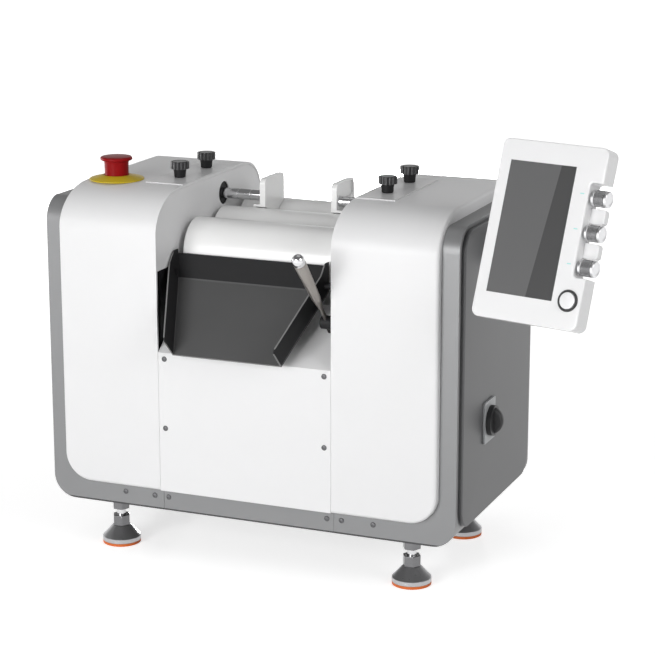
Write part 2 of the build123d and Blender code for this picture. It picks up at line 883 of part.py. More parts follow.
# Hopper end plates: flat above, hollowed below to follow two rollers
for side, x, name in ((-1, left_cheek_x, "left_cheek"), (1, right_cheek_x, "right_cheek")):
    with BuildPart() as cheek:
        with BuildSketch(side_plane(x - cheek_thickness / 2)):
            with Locations((nip_y, (cheek_top_z + cheek_low_z) / 2)):
                RectangleRounded(cheek_width, cheek_top_z - cheek_low_z, cheek_round)
            with Locations((centre_roller_y, roller_z), (feed_y, roller_z)):
                Circle(roller_radius + cheek_clearance, mode=Mode.SUBTRACT)
        extrude(amount=cheek_thickness)
        outer_plane = side_plane(x + side * cheek_thickness / 2)
        with BuildSketch(outer_plane):
            with Locations((nip_y, (cheek_top_z + cheek_shoulder_z) / 2)):
                RectangleRounded(
                    cheek_width - 2 * cheek_dish_rim,
                    cheek_top_z - cheek_shoulder_z - cheek_dish_rim,
                    cheek_round / 2,
                )
            with Locations((rod_y, rod_z)):
                Circle(rod_diameter / 2 + rod_boss_room, mode=Mode.SUBTRACT)
        extrude(amount=-side * cheek_dish_depth, mode=Mode.SUBTRACT)
        lip_start = nip_y - cheek_width / 2
        lip_inner = roller_radius + cheek_clearance
        with BuildSketch(outer_plane):
            with Locations((centre_roller_y, roller_z)):
                Circle(lip_inner + cheek_lip_height)
                Circle(lip_inner, mode=Mode.SUBTRACT)
            with Locations((lip_start + cheek_lip_run / 2, roller_z + roller_radius)):
                Rectangle(cheek_lip_run, roller_radius, mode=Mode.INTERSECT)
        extrude(amount=side * cheek_lip_out)
    finish(cheek.part, name)

# Rods of the end plates, each with two ring grooves
rod_end_x = gear_a_x - rod_end_room
for side, x, name in ((-1, left_cheek_x, "left_rod"), (1, right_cheek_x, "right_rod")):
    start_x = x + side * cheek_thickness / 2
    with BuildPart() as rod:
        add(bar((start_x, rod_y, rod_z), (side * rod_end_x, rod_y, rod_z), rod_diameter))
        for groove in rod_groove_places:
            near = start_x + side * groove
            add(ring_bar(
                (near, rod_y, rod_z), (near + side * rod_groove_width, rod_y, rod_z),
                rod_diameter + 2 * cut_past, rod_diameter - 2 * rod_groove_depth,
            ), mode=Mode.SUBTRACT)
    finish(rod.part, name)

# Scraper tray: side view of the trough cut to a narrowing plan
tray_back_y = apron_y - roller_radius - tray_front_gap
tray_back_top_z = tray_floor_top_z + tray_back_height
tray_length = hypot(tray_run, tray_drop)
down_y = -tray_run / tray_length
down_z = -tray_drop / tray_length


def tray_point(along, above):
    # Point in the side view at a distance down the floor and a height above it
    y = tray_back_y + along * down_y + above * down_z
    z = tray_floor_top_z + along * down_z - above * down_y
    return (y, z)


def tray_block(back_y, floor_rise, front_along, half_top, half_low):
    top = tray_back_top_z + tray_shoulder_rise
    wall_top = tray_point(0, tray_wall)
    shoulder_y = wall_top[0] + (top - wall_top[1]) * down_y / down_z
    floor_start = tray_point(0, floor_rise)
    drop = (back_y - floor_start[0]) * down_z / down_y
    low_left = tray_low_shift - half_low
    low_right = tray_low_shift + half_low
    with BuildPart() as block:
        with BuildSketch(side_plane(tray_centre_x - half_top)):
            with BuildLine():
                Polyline(
                    (back_y, floor_start[1] + drop), (back_y, top), (shoulder_y, top),
                    tray_point(front_along, tray_wall), tray_point(front_along, floor_rise), close=True,
                )
            make_face()
            fillet(vertices().group_by(Axis.Y)[-1].sort_by(Axis.X)[0], tray_corner)
            fillet(vertices().sort_by(Axis.X)[0], tray_nose_round)
        extrude(amount=2 * half_top)
        plan = Plane(
            origin=(tray_centre_x, tray_back_y, tray_floor_top_z),
            x_dir=(0, down_y, down_z), z_dir=(0, down_z, -down_y),
        )
        with BuildSketch(plan.offset(-tray_wall)):
            with BuildLine():
                Polyline(
                    (-tray_length, -half_top), (0, -half_top),
                    (tray_length, low_left), (tray_length + tray_wall, low_left),
                    (tray_length + tray_wall, low_right), (tray_length, low_right),
                    (0, half_top), (-tray_length, half_top), close=True,
                )
            make_face()
        extrude(amount=4 * tray_wall, mode=Mode.INTERSECT)
    return block.part


pivot_y = tray_back_y - pivot_forward
pivot_z = tray_floor_top_z + pivot_above_floor
with BuildPart() as scraper_tray:
    add(tray_block(tray_back_y, -tray_sheet, tray_length, tray_top_half, tray_low_half))
    add(tray_block(
        tray_back_y - tray_sheet, 0, tray_length + tray_wall,
        tray_top_half - tray_sheet, tray_low_half - tray_sheet,
    ), mode=Mode.SUBTRACT)
    with BuildSketch(level_plane(tray_back_top_z)):
        with Locations((tray_centre_x, tray_back_y)):
            Rectangle(2 * (tray_top_half - tray_sheet), 4 * tray_sheet)
    extrude(amount=tray_shoulder_rise + cut_past, mode=Mode.SUBTRACT)
    with BuildSketch(side_plane(tray_centre_x - tray_top_half)):
        with Locations((pivot_y, pivot_z)):
            Circle(pivot_diameter / 2 + running_fit)
    extrude(amount=2 * tray_top_half, mode=Mode.SUBTRACT)
finish(scraper_tray.part, "scraper_tray")

# Scraper blade behind the tray, its edge leaning to the apron roller
blade_tip_z = tray_back_top_z
blade_tip_y = apron_y - roller_radius - gap_travel - blade_gap
blade_half = tray_top_half - tray_sheet - blade_end_room
with BuildPart() as scraper_blade:
    with BuildSketch(side_plane(tray_centre_x - blade_half)):
        with BuildLine():
            Polyline(
                (tray_back_y, blade_tip_z - blade_low),
                (tray_back_y + blade_thickness, blade_tip_z - blade_low),
                (tray_back_y + blade_thickness, blade_tip_z - blade_bend),
                (blade_tip_y, blade_tip_z), (tray_back_y, blade_tip_z), close=True,
            )
        make_face()
    extrude(amount=2 * blade_half)
finish(scraper_blade.part, "scraper_blade")

# Pins that carry the tray and the lever
with BuildPart() as tray_pivots:
    for side in (-1, 1):
        wall_inside = tray_centre_x + side * (tray_top_half - tray_sheet)
        add(bar((side * plate_inner, pivot_y, pivot_z), (wall_inside, pivot_y, pivot_z), pivot_diameter))
    pin_end = lever_x - lever_hub_width / 2 - lever_pin_past
    add(bar((plate_inner, lever_y, lever_z), (pin_end, lever_y, lever_z), lever_pin_diameter))
finish(tray_pivots.part, "tray_pivots")

# Release lever: hub with its tail, thin neck, grip that widens outwards, ball end
lever_hub_start = lever_x - lever_hub_width / 2
lever_hub_centre = Vector(lever_x, lever_y, lever_z)
lever_direction = Vector(0, -sin(radians(lever_lean)), cos(radians(lever_lean)))
lever_plane = Plane(origin=lever_hub_centre, z_dir=lever_direction)
tail_centre = lever_hub_centre - lever_direction * (lever_tail / 2)
with BuildPart() as lever_handle:
    with BuildSketch(side_plane(lever_hub_start)):
        with Locations((lever_y, lever_z)):
            Circle(lever_hub_diameter / 2)
        with Locations((tail_centre.Y, tail_centre.Z)):
            Rectangle(lever_tail_width, lever_tail, rotation=lever_lean)
    extrude(amount=lever_hub_width)
    with BuildSketch(lever_plane):
        Circle(lever_neck_diameter / 2)
    extrude(amount=lever_grip_start)
    lever_cones = (
        (lever_neck_length, lever_grip_start, lever_neck_diameter, lever_grip_low_diameter),
        (lever_grip_start, lever_reach, lever_grip_low_diameter, lever_ball_diameter),
    )
    for start, end, low_diameter, high_diameter in lever_cones:
        with Locations(lever_plane.offset((start + end) / 2)):
            Cone(low_diameter / 2, high_diameter / 2, end - start)
    with Locations(lever_plane.offset(lever_reach)):
        Sphere(lever_ball_diameter / 2)
    with BuildSketch(side_plane(lever_hub_start - cut_past)):
        with Locations((lever_y, lever_z)):
            Circle(lever_pin_diameter / 2 + running_fit)
    extrude(amount=lever_hub_width + 2 * cut_past, mode=Mode.SUBTRACT)
finish(lever_handle.part, "lever_handle")


def folded_panel(outer_y, inward, low, top):
    # Upright sheet with a screw rib along each side
    with BuildPart() as panel:
        with BuildSketch(front_plane(outer_y)):
            with Locations((0, (low + top) / 2)):
                Rectangle(2 * (half_gap - fit), top - low)
        extrude(amount=-inward * panel_sheet)
        rib_inner = front_screw_x - screw_shank_diameter
        rib_outer = plate_inner - fit
        with BuildSketch(front_plane(outer_y + inward * panel_sheet)):
            for side in (-1, 1):
                with Locations((side * (rib_inner + rib_outer) / 2, (low + top) / 2)):
                    Rectangle(rib_outer - rib_inner, top - low - 2 * panel_rib_room)
        extrude(amount=-inward * panel_rib_depth)
    return panel.part


# Front panel with its sloping top sheet
slope_rise = front_slope_run * tan(radians(front_slope))
slope_end_y = cover_front + front_slope_run
with BuildPart() as front_panel:
    add(folded_panel(cover_front, 1, skirt_top_z + fit, front_panel_top_z))
    with BuildSketch(side_plane(-half_gap + fit)):
        with BuildLine():
            Polyline(
                (cover_front, front_panel_top_z - panel_sheet),
                (cover_front, front_panel_top_z),
                (slope_end_y, front_panel_top_z + slope_rise),
                (slope_end_y, front_panel_top_z + slope_rise - panel_sheet), close=True,
            )
        make_face()
    extrude(amount=2 * (half_gap - fit))
    with BuildSketch(front_plane(cover_front)):
        with Locations(*[
            (side * front_screw_x, z) for side in (-1, 1) for z in front_screw_zs
        ]):
            Circle(screw_shank_diameter / 2 + running_fit)
    extrude(amount=-(screw_length + cut_past), mode=Mode.SUBTRACT)
finish(front_panel.part, "front_panel")

# Rear panel
with BuildPart() as rear_panel:
    add(folded_panel(cover_back, -1, skirt_top_z + fit, rear_panel_top_z))
finish(rear_panel.part, "rear_panel")

# Centre strip: front, bottom and rear in one folded sheet
with BuildPart() as centre_skirt:
    with BuildSketch(side_plane(-half_gap + fit / 2)):
        with Locations(((frame_front + frame_back) / 2, (underside_z + skirt_top_z - fit) / 2)):
            Rectangle(frame_back - frame_front, skirt_top_z - fit - underside_z)
        with Locations(((frame_front + frame_back) / 2, (chassis_low_z + skirt_top_z) / 2)):
            Rectangle(
                frame_back - frame_front - 2 * cover_wall, skirt_top_z - chassis_low_z, mode=Mode.SUBTRACT,
            )
    extrude(amount=2 * half_gap - fit)
    with BuildSketch(front_plane(frame_front)):
        with Locations(*[(side * strip_screw_in_x + strip_screw_shift, strip_screw_z) for side in (-1, 1)]):
            Circle(screw_shank_diameter / 2 + running_fit)
    extrude(amount=-cover_wall, mode=Mode.SUBTRACT)
finish(centre_skirt.part, "centre_skirt")

# Small screws of the front panel and the strip
strip_xs = (strip_screw_out_x, strip_screw_mid_x, strip_screw_in_x)
screw_places = [(side * front_screw_x, z, cover_front) for side in (-1, 1) for z in front_screw_zs]
screw_places += [
    (side * x + strip_screw_shift, strip_screw_z, frame_front) for side in (-1, 1) for x in strip_xs
]
with BuildPart() as panel_screws:
    for x, z, y in screw_places:
        add(bar((x, y + screw_length, z), (x, y, z), screw_shank_diameter))
        add(bar((x, y, z), (x, y - screw_head_height, z), screw_head_diameter))
        with BuildSketch(front_plane(y - screw_head_height)):
            with Locations((x, z)):
                RegularPolygon(screw_socket / 2, 6)
        extrude(amount=-screw_head_height / 2, mode=Mode.SUBTRACT)
finish(panel_screws.part, "panel_screws")

# Emergency stop: ring on the cover, head with stem, contact block below
ring_top = top_z + stop_ring_height
head_top = top_z + stop_height
with BuildPart() as stop_ring:
    with BuildSketch(level_plane(top_z)):
        with Locations((stop_x, stop_y)):
            Circle(stop_ring_diameter / 2)
    extrude(amount=stop_ring_rim)
    with Locations((stop_x, stop_y, (top_z + stop_ring_rim + ring_top) / 2)):
        Cone(
            stop_ring_diameter / 2, stop_body_diameter / 2 + 2 * stop_ring_rim,
            stop_ring_height - stop_ring_rim,
        )
    with BuildSketch(level_plane(top_z)):
        with Locations((stop_x, stop_y)):
            Circle(stop_body_diameter / 2 + stop_body_room)
    extrude(amount=stop_ring_height, mode=Mode.SUBTRACT)
finish(stop_ring.part, "stop_ring")

with BuildPart() as stop_head:
    stem_low = top_z - cover_wall - stop_base_height / 2
    body_low = top_z + stop_travel + fit
    neck_z = head_top - stop_head_edge
    add(bar((stop_x, stop_y, stem_low), (stop_x, stop_y, body_low), stop_stem_diameter))
    add(bar((stop_x, stop_y, body_low), (stop_x, stop_y, neck_z), stop_body_diameter))
    add(bar((stop_x, stop_y, neck_z), (stop_x, stop_y, head_top), stop_head_diameter))
    circles = stop_head.edges().filter_by(GeomType.CIRCLE)
    fillet([edge for edge in circles if edge.radius > stop_head_diameter / 2 - fit], stop_rim_round)
finish(stop_head.part, "stop_head")

with BuildPart() as stop_base:
    base_top = top_z - cover_wall
    add(ring_bar(
        (stop_x, stop_y, base_top - stop_base_height), (stop_x, stop_y, base_top),
        stop_base_diameter, stop_stem_diameter + 2 * running_fit,
    ))
finish(stop_base.part, "stop_base")

# Levelling feet: pad, cone, nut and stud
foot_names = ("foot_left_front", "foot_left_rear", "foot_right_front", "foot_right_rear")
cone_top_z = foot_pad_height + foot_cone_height
for (x, y), name in zip(foot_places, foot_names):
    with BuildPart() as foot:
        add(bar((x, y, 0), (x, y, foot_pad_height), foot_pad_diameter))
        fillet(foot.edges().group_by(Axis.Z)[-1], foot_pad_round)
        with Locations((x, y, foot_pad_height + foot_cone_height / 2)):
            Cone(foot_pad_diameter / 2 - foot_cone_step, foot_cone_top / 2, foot_cone_height)
        with BuildSketch(level_plane(cone_top_z)):
            with Locations((x, y)):
                RegularPolygon(hexagon_radius(foot_nut_flats), 6)
        extrude(amount=foot_nut_height)
        add(bar((x, y, cone_top_z), (x, y, foot_stud_top_z), foot_stud_diameter))
    finish(foot.part, name)

with BuildPart() as foot_nuts:
    with BuildSketch(level_plane(underside_z - foot_boss_height)):
        with Locations(*foot_places):
            RegularPolygon(hexagon_radius(foot_nut_flats), 6)
            Circle(foot_stud_diameter / 2 + running_fit, mode=Mode.SUBTRACT)
    extrude(amount=-foot_lock_height)
finish(foot_nuts.part, "foot_nuts")

# Main switch: plate with body, and its turning knob
panel_face_x = half_frame + panel_proud
with BuildPart() as switch_plate:
    with BuildSketch(side_plane(panel_face_x)):
        with Locations((switch_y, switch_z)):
            RectangleRounded(switch_plate_width, switch_plate_height, switch_plate_round)
    extrude(amount=switch_plate_thickness)
    add(bar(
        (panel_face_x, switch_y, switch_z), (panel_face_x - switch_body_depth, switch_y, switch_z),
        switch_body_diameter,
    ))
    add(bar(
        (panel_face_x - switch_bore_depth, switch_y, switch_z),
        (panel_face_x + switch_plate_thickness, switch_y, switch_z),
        switch_stem_diameter + 2 * running_fit,
    ), mode=Mode.SUBTRACT)
finish(switch_plate.part, "switch_plate")

knob_start = panel_face_x + switch_plate_thickness + fit
grip_radius = switch_knob_diameter / 2 - switch_ridge_room
with BuildPart() as switch_knob:
    with BuildSketch(front_plane(switch_y - switch_ridge_width / 2)):
        with Locations((knob_start + switch_knob_depth - grip_radius, switch_z)):
            Circle(grip_radius)
        with Locations((knob_start + switch_knob_depth / 2, switch_z)):
            Rectangle(switch_knob_depth, switch_knob_diameter, mode=Mode.INTERSECT)
    extrude(amount=-switch_ridge_width)
    fillet(switch_knob.edges().filter_by(GeomType.CIRCLE), switch_ridge_round)
    with BuildSketch(side_plane(knob_start)):
        with Locations((switch_y, switch_z)):
            Circle(switch_knob_diameter / 2)
    extrude(amount=switch_knob_base)
    add(bar(
        (panel_face_x - switch_stem_depth, switch_y, switch_z), (knob_start, switch_y, switch_z),
        switch_stem_diameter,
    ))
finish(switch_knob.part, "switch_knob")

# Control panel, drawn in the plane of its screen
across = Vector(cos(radians(panel_yaw)), sin(radians(panel_yaw)), 0)
level_out = Vector(sin(radians(panel_yaw)), -cos(radians(panel_yaw)), 0)
face_out = level_out * cos(radians(panel_tilt)) + Vector(0, 0, sin(radians(panel_tilt)))
screen_centre = Vector(screen_x, screen_y, screen_z)
screen_plane = Plane(origin=screen_centre, x_dir=across, z_dir=face_out)


def foremost_face(builder):
    return builder.faces().sort_by(lambda face: (face.center() - screen_centre).dot(face_out))[-1]


def panel_outline(inset):
    # Panel face with the notch for the dials open to the right
    middle_u = (panel_right - panel_left) / 2
    middle_v = (panel_up - panel_down) / 2
    with BuildSketch() as outline:
        with Locations((middle_u, middle_v)):
            RectangleRounded(
                panel_left + panel_right - 2 * inset, panel_up + panel_down - 2 * inset,
                panel_corner - inset,
            )
        notch_start = notch_left - inset
        notch_end = panel_right + notch_corner + inset + cut_past
        with Locations(((notch_start + notch_end) / 2, (notch_top + notch_bottom) / 2)):
            RectangleRounded(
                notch_end - notch_start, notch_top - notch_bottom + 2 * inset, notch_corner + inset,
                mode=Mode.SUBTRACT,
            )
    return outline.sketch_local


dial_vs = [dial_first_v - dial_pitch * index for index in range(3)]
with BuildPart() as panel_front:
    with BuildSketch(screen_plane):
        add(panel_outline(0))
    extrude(amount=-panel_split)
    fillet(foremost_face(panel_front).edges(), panel_edge_round)
    with BuildSketch(screen_plane.offset(-panel_split)):
        add(panel_outline(panel_wall))
    extrude(amount=panel_split - panel_wall, mode=Mode.SUBTRACT)
    with BuildSketch(screen_plane):
        Rectangle(screen_width, screen_height)
        with Locations((button_u, button_v)):
            Circle(button_diameter / 2 + fit)
    extrude(amount=-panel_wall, mode=Mode.SUBTRACT)
    shaft_plane = Plane(
        origin=screen_centre + across * (notch_left - panel_wall - cut_past) - face_out * dial_axis_depth,
        x_dir=screen_plane.y_dir, z_dir=across,
    )
    with BuildSketch(shaft_plane):
        with Locations(*[(v, 0) for v in dial_vs]):
            Circle(dial_shaft_diameter / 2 + running_fit)
    extrude(amount=panel_wall + 2 * cut_past, mode=Mode.SUBTRACT)
finish(panel_front.part, "panel_front")

tilt_centre = screen_centre - face_out * (panel_depth + tilt_back) - screen_plane.y_dir * tilt_drop
ear_out = tilt_barrel_length / 2 + fit + tilt_ear
with BuildPart() as panel_back:
    with BuildSketch(screen_plane.offset(-panel_split)):
        add(panel_outline(0))
    extrude(amount=-(panel_depth - panel_split))
    with BuildSketch(screen_plane.offset(-panel_split)):
        add(panel_outline(panel_wall))
    extrude(amount=-(panel_depth - panel_split - panel_wall), mode=Mode.SUBTRACT)
    divider_length = panel_right + divider_past - notch_left
    with BuildSketch(screen_plane.offset(-panel_split)):
        for v in ((dial_vs[0] + dial_vs[1]) / 2, (dial_vs[1] + dial_vs[2]) / 2):
            with Locations((notch_left + divider_length / 2, v)):
                Rectangle(divider_length, divider_size)
        fillet(vertices().group_by(Axis.X)[-1], divider_corner)
    extrude(amount=-(panel_depth - panel_split))
    ear_middle = tilt_back / 2
    for side in (-1, 1):
        start = tilt_centre + across * (side * (ear_out - tilt_ear))
        add(bar(tuple(start), tuple(start + across * (side * tilt_ear)), tilt_barrel))
        ear_plane = Plane(origin=start, x_dir=screen_plane.y_dir, z_dir=across)
        with BuildSketch(ear_plane):
            with Locations((0, ear_middle)):
                Rectangle(tilt_barrel, tilt_back)
        extrude(amount=side * tilt_ear)
    add(bar(
        tuple(tilt_centre - across * ear_out), tuple(tilt_centre + across * ear_out), tilt_pin_diameter,
    ))
finish(panel_back.part, "panel_back")

# Display module with its glass in the window
with BuildPart() as display:
    with BuildSketch(screen_plane.offset(-panel_wall)):
        Rectangle(screen_width + 2 * screen_border, screen_height + 2 * screen_border)
    extrude(amount=-screen_depth)
    with BuildSketch(screen_plane.offset(-panel_wall)):
        Rectangle(screen_width - 2 * running_fit, screen_height - 2 * running_fit)
    extrude(amount=panel_wall - fit)
finish(display.part, "display")

# Dials that turn about the panel's cross direction
for number, v in enumerate(dial_vs, 1):
    axis_point = screen_centre + screen_plane.y_dir * v - face_out * dial_axis_depth
    start = axis_point + across * (notch_left + dial_room)
    with BuildPart() as dial:
        add(bar(tuple(start), tuple(start + across * dial_length), dial_diameter))
        fillet(dial.edges().filter_by(GeomType.CIRCLE), dial_edge_round)
        shaft_start = axis_point + across * (notch_left - panel_wall - dial_shaft_past)
        add(bar(tuple(shaft_start), tuple(start), dial_shaft_diameter))
    finish(dial.part, "dial_" + str(number))

# Start button
with BuildPart() as start_button:
    with BuildSketch(screen_plane.offset(button_proud)):
        with Locations((button_u, button_v)):
            Circle(button_diameter / 2)
    extrude(amount=-(button_proud + button_depth))
    fillet(foremost_face(start_button).edges(), button_edge_round)
finish(start_button.part, "start_button")

# Bracket on the right side panel with an upright pin
post_x = panel_face_x + arm_pivot_out
arm_low_z = tilt_centre.Z - arm_hub_height / 2
with BuildPart() as arm_bracket:
    with BuildSketch(side_plane(panel_face_x)):
        with Locations((arm_base_y, arm_base_z)):
            RectangleRounded(arm_base_width, arm_base_height, arm_base_round)
    extrude(amount=arm_base_thickness)
    block_low = arm_base_z - arm_block_drop
    with BuildSketch(level_plane(block_low)):
        with Locations((post_x, arm_base_y)):
            Circle(arm_post_diameter / 2)
        with Locations(((panel_face_x + post_x) / 2, arm_base_y)):
            Rectangle(arm_pivot_out, arm_post_diameter)
    extrude(amount=arm_low_z - fit - block_low)
    add(bar(
        (post_x, arm_base_y, block_low), (post_x, arm_base_y, arm_low_z + arm_hub_height), arm_pin_diameter,
    ))
finish(arm_bracket.part, "arm_bracket")

# Swivel arm from the bracket's pin to the panel's tilt pin
with BuildPart() as panel_arm:
    elbow = tilt_centre - level_out * arm_elbow
    mid_z = tilt_centre.Z
    hub = Vector(post_x, arm_base_y, mid_z)
    bar_low_z = mid_z - arm_bar_height / 2
    bar_high_z = mid_z + arm_bar_height / 2
    add(bar(
        (post_x, arm_base_y, arm_low_z), (post_x, arm_base_y, arm_low_z + arm_hub_height), arm_post_diameter,
    ))
    for start, end in ((hub, elbow), (elbow, tilt_centre)):
        run = end - start
        middle = (start + end) / 2
        with BuildSketch(Plane(origin=(middle.X, middle.Y, bar_low_z), x_dir=run, z_dir=(0, 0, 1))):
            Rectangle(run.length, arm_bar_width)
        extrude(amount=arm_bar_height)
    add(bar((elbow.X, elbow.Y, bar_low_z), (elbow.X, elbow.Y, bar_high_z), arm_bar_width))
    half_barrel = across * (tilt_barrel_length / 2)
    add(bar(tuple(tilt_centre - half_barrel), tuple(tilt_centre + half_barrel), tilt_barrel))
    add(bar(
        tuple(tilt_centre - half_barrel), tuple(tilt_centre + half_barrel),
        tilt_pin_diameter + 2 * running_fit,
    ), mode=Mode.SUBTRACT)
    add(bar(
        (post_x, arm_base_y, arm_low_z), (post_x, arm_base_y, arm_low_z + arm_hub_height),
        arm_pin_diameter + 2 * running_fit,
    ), mode=Mode.SUBTRACT)
finish(panel_arm.part, "panel_arm")

# Mains inlet at the rear of the right column
with BuildPart() as mains_inlet:
    with BuildSketch(front_plane(cover_back)):
        with Locations((inlet_x, inlet_z)):
            RectangleRounded(inlet_width, inlet_height, inlet_round)
    extrude(amount=-inlet_plate)
    with BuildSketch(front_plane(cover_back)):
        with Locations((inlet_x, inlet_z)):
            Rectangle(socket_width + 2 * socket_wall, socket_height + 2 * socket_wall)
    extrude(amount=inlet_body_depth)
    with BuildSketch(front_plane(cover_back + inlet_plate)):
        with Locations((inlet_x, inlet_z)):
            Rectangle(socket_width, socket_height)
    extrude(amount=socket_depth, mode=Mode.SUBTRACT)
    with BuildSketch(front_plane(cover_back + inlet_plate - socket_depth)):
        with Locations(*[(inlet_x + step * inlet_pin_pitch, inlet_z) for step in (-1, 0, 1)]):
            Rectangle(inlet_pin_size, 2 * inlet_pin_size)
    extrude(amount=-(socket_depth - inlet_pin_size))
finish(mains_inlet.part, "mains_inlet")

# Power supply on the chassis beside the right bearing plate
with BuildPart() as power_supply:
    with BuildSketch(level_plane(chassis_top_z)):
        with Locations((plate_outer + supply_width / 2, 0)):
            Rectangle(supply_width, supply_depth)
    extrude(amount=supply_height)
    chamfer(power_supply.edges().group_by(Axis.Z)[-1], supply_chamfer)
finish(power_supply.part, "power_supply")
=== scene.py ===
import json
import math

import bmesh
import bpy
from mathutils import Matrix, Vector


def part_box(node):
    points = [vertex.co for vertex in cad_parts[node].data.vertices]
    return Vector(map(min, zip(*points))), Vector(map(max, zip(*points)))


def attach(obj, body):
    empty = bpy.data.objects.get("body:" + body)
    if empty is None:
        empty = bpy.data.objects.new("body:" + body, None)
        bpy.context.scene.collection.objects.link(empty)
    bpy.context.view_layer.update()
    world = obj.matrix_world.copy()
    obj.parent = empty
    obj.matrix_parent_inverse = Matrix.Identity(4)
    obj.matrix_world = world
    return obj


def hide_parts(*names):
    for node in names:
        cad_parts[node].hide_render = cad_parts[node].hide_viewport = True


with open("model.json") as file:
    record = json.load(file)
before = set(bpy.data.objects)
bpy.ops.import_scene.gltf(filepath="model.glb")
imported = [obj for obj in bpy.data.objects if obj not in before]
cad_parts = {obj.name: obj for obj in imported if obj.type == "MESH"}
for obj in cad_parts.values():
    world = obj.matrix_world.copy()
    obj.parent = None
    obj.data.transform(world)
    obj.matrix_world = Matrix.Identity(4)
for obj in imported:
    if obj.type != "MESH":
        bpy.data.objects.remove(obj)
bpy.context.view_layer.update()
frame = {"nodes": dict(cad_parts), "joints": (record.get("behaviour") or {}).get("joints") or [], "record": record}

bl_info = {
    "name": "Three-roll mill dressing",
    "version": (1, 0, 0),
    "blender": (4, 5, 0),
    "location": "3D View > Sidebar > Mill",
    "description": (
        "Builds the finished covers, rollers, controls and studio of a bench three-roll mill"
    ),
    "category": "Object",
}

NODES = frame["nodes"]
BODY_OF = {
    node: body
    for body, members in frame["record"]["behaviour"]["bodies"].items()
    for node in members
}
MM = 0.001

# Widths of the bevels that differ from the sidebar's edge softness
ROLLER_EDGE = 0.4 * MM
FINE_EDGE = 0.5 * MM
TRAY_EDGE = 0.7 * MM
FRAME_EDGE = 0.8 * MM
WIDE_EDGE = 1.0 * MM
CHEEK_EDGE = 1.2 * MM
# Degrees from which an edge counts as sharp
SHARP_ANGLE = 32.0
NUT_SHARP_ANGLE = 40.0
# How close doubles lie, and how flat two faces meet that become one
MERGE_DISTANCE = 2e-6
FLAT_ANGLE = math.radians(0.5)

THUMBSCREWS = (
    "thumbscrew_left_front",
    "thumbscrew_left_rear",
    "thumbscrew_right_front",
    "thumbscrew_right_rear",
)
# Heights of a thumbscrew's head and neck, and the ribs' share of the head
KNOB_HEAD = 10.0 * MM
KNOB_NECK = 10.7 * MM
GRIP_SHARE = 0.92

FEET = ("foot_left_front", "foot_left_rear", "foot_right_front", "foot_right_rear")
# Heights of the feet's layers and the nut's corner radius, in millimetres
PAD_TOP = 3.8
CONE_TOP = 24.0
NUT_TOP = 38.0
NUT_CORNER = 11.83

# Height of the painted shade along the frame's lower edge, where its rounding turns under
FRAME_SHADE_RIM = 2.2 * MM
# How far the stop's red body reaches down from its top
STOP_BODY = 25.2 * MM

# A point on the tray's fold, ways square to its floor and along it, and where tones change: the floor's lighter
# tone is painted light, and the rim and lip tones are painted highlights
TRAY_FOLD = (0.0, -0.1025, 0.364)
TRAY_BELOW = (0.0, 0.7204, -0.6935)
TRAY_ABOVE = (0.0, -0.7204, 0.6935)
TRAY_ALONG = (0.0, -0.6935, -0.7204)
LIT_FLOOR_REACH = -1.4 * MM
RIM_HIGHLIGHT_REACH = 33.3 * MM
LIP_HIGHLIGHT_REACH = 110.9 * MM
# Painted highlight along the back wall's top edge and the front lip
RIM_HIGHLIGHT_TONE = (0.22, 0.22, 0.22)

# The lever's lean and length, its ball, half its hub, and its tail
LEVER_LEAN = math.radians(43.5)
LEVER_REACH = 130.5 * MM
BALL_RADIUS = 7.7 * MM
HUB_HALF = 7.5 * MM
TAIL_DROP_MM = 13.0
TAIL_HALF = 3.5 * MM

# Middles of the screws in millimetres
FRONT_SCREW_X, FRONT_SCREW_Y, FRONT_SCREW_ROWS = 107.8, -160.0, (271.0, 181.0)
STRIP_SCREW_X, STRIP_SCREW_Y, STRIP_SCREW_Z = (170.0, 128.3, 108.8), -150.0, 86.6
STRIP_SHIFT = -1.5

# The control panel's face, and places on it in millimetres
PANEL_YAW = math.radians(-14.4)
PANEL_TILT = math.radians(18.5)
SCREEN_CENTRE = Vector((0.3736, -0.1923, 0.4791))
ACROSS = Vector((math.cos(PANEL_YAW), math.sin(PANEL_YAW), 0.0))
LEVEL_OUT = Vector((math.sin(PANEL_YAW), -math.cos(PANEL_YAW), 0.0))
FACE_OUT = LEVEL_OUT * math.cos(PANEL_TILT) + Vector((0.0, 0.0, math.sin(PANEL_TILT)))
PANEL_UP = FACE_OUT.cross(ACROSS)
# Where the screen's painted reflection ends, and the lean of that line as a slope: the screen is lighter to the
# left as a painted reflection
REFLECTION_EDGE = 16.1
REFLECTION_LEAN = 0.099
# The lit marks, the dials and the start button
MARK_ACROSS, MARK_ROWS, MARK_OUT = 56.0, (47.5, 7.5, -32.0), 0.35
DIAL_START, DIAL_MIDDLE, DIAL_ROWS, DIAL_OUT = 66.0, 76.0, (45.0, 5.8, -33.4), -10.4
BUTTON_PLACE = (63.5, -73.0, 0.0)

# Half the floor's width in metres
FLOOR_HALF = 20
# Name, place, aim, size in metres and power in watts
LIGHTS = (
    ("Front light", (-0.6, -2.8, 0.85), (0.0, 0.0, 0.25), 1.4, 51.5),
    ("Side light", (2.2, -0.9, 1.5), (0.0, 0.0, 0.35), 1.2, 16.5),
    ("Top light", (0.0, 0.3, 2.4), (0.0, 0.0, 0.3), 1.6, 3.0),
    ("Back light", (-0.9, 2.7, 0.24), (0.0, 0.0, 0.25), 0.4, 30.0),
    ("Left light", (-2.6, 0.3, 0.24), (0.0, 0.0, 0.25), 0.4, 9.0),
)
CAMERA_PLACE = (1.0553, -2.4486, 0.9544)
CAMERA_TURN = (math.radians(75.9154), 0.0, math.radians(22.3915))
CAMERA_LENS = 116.73


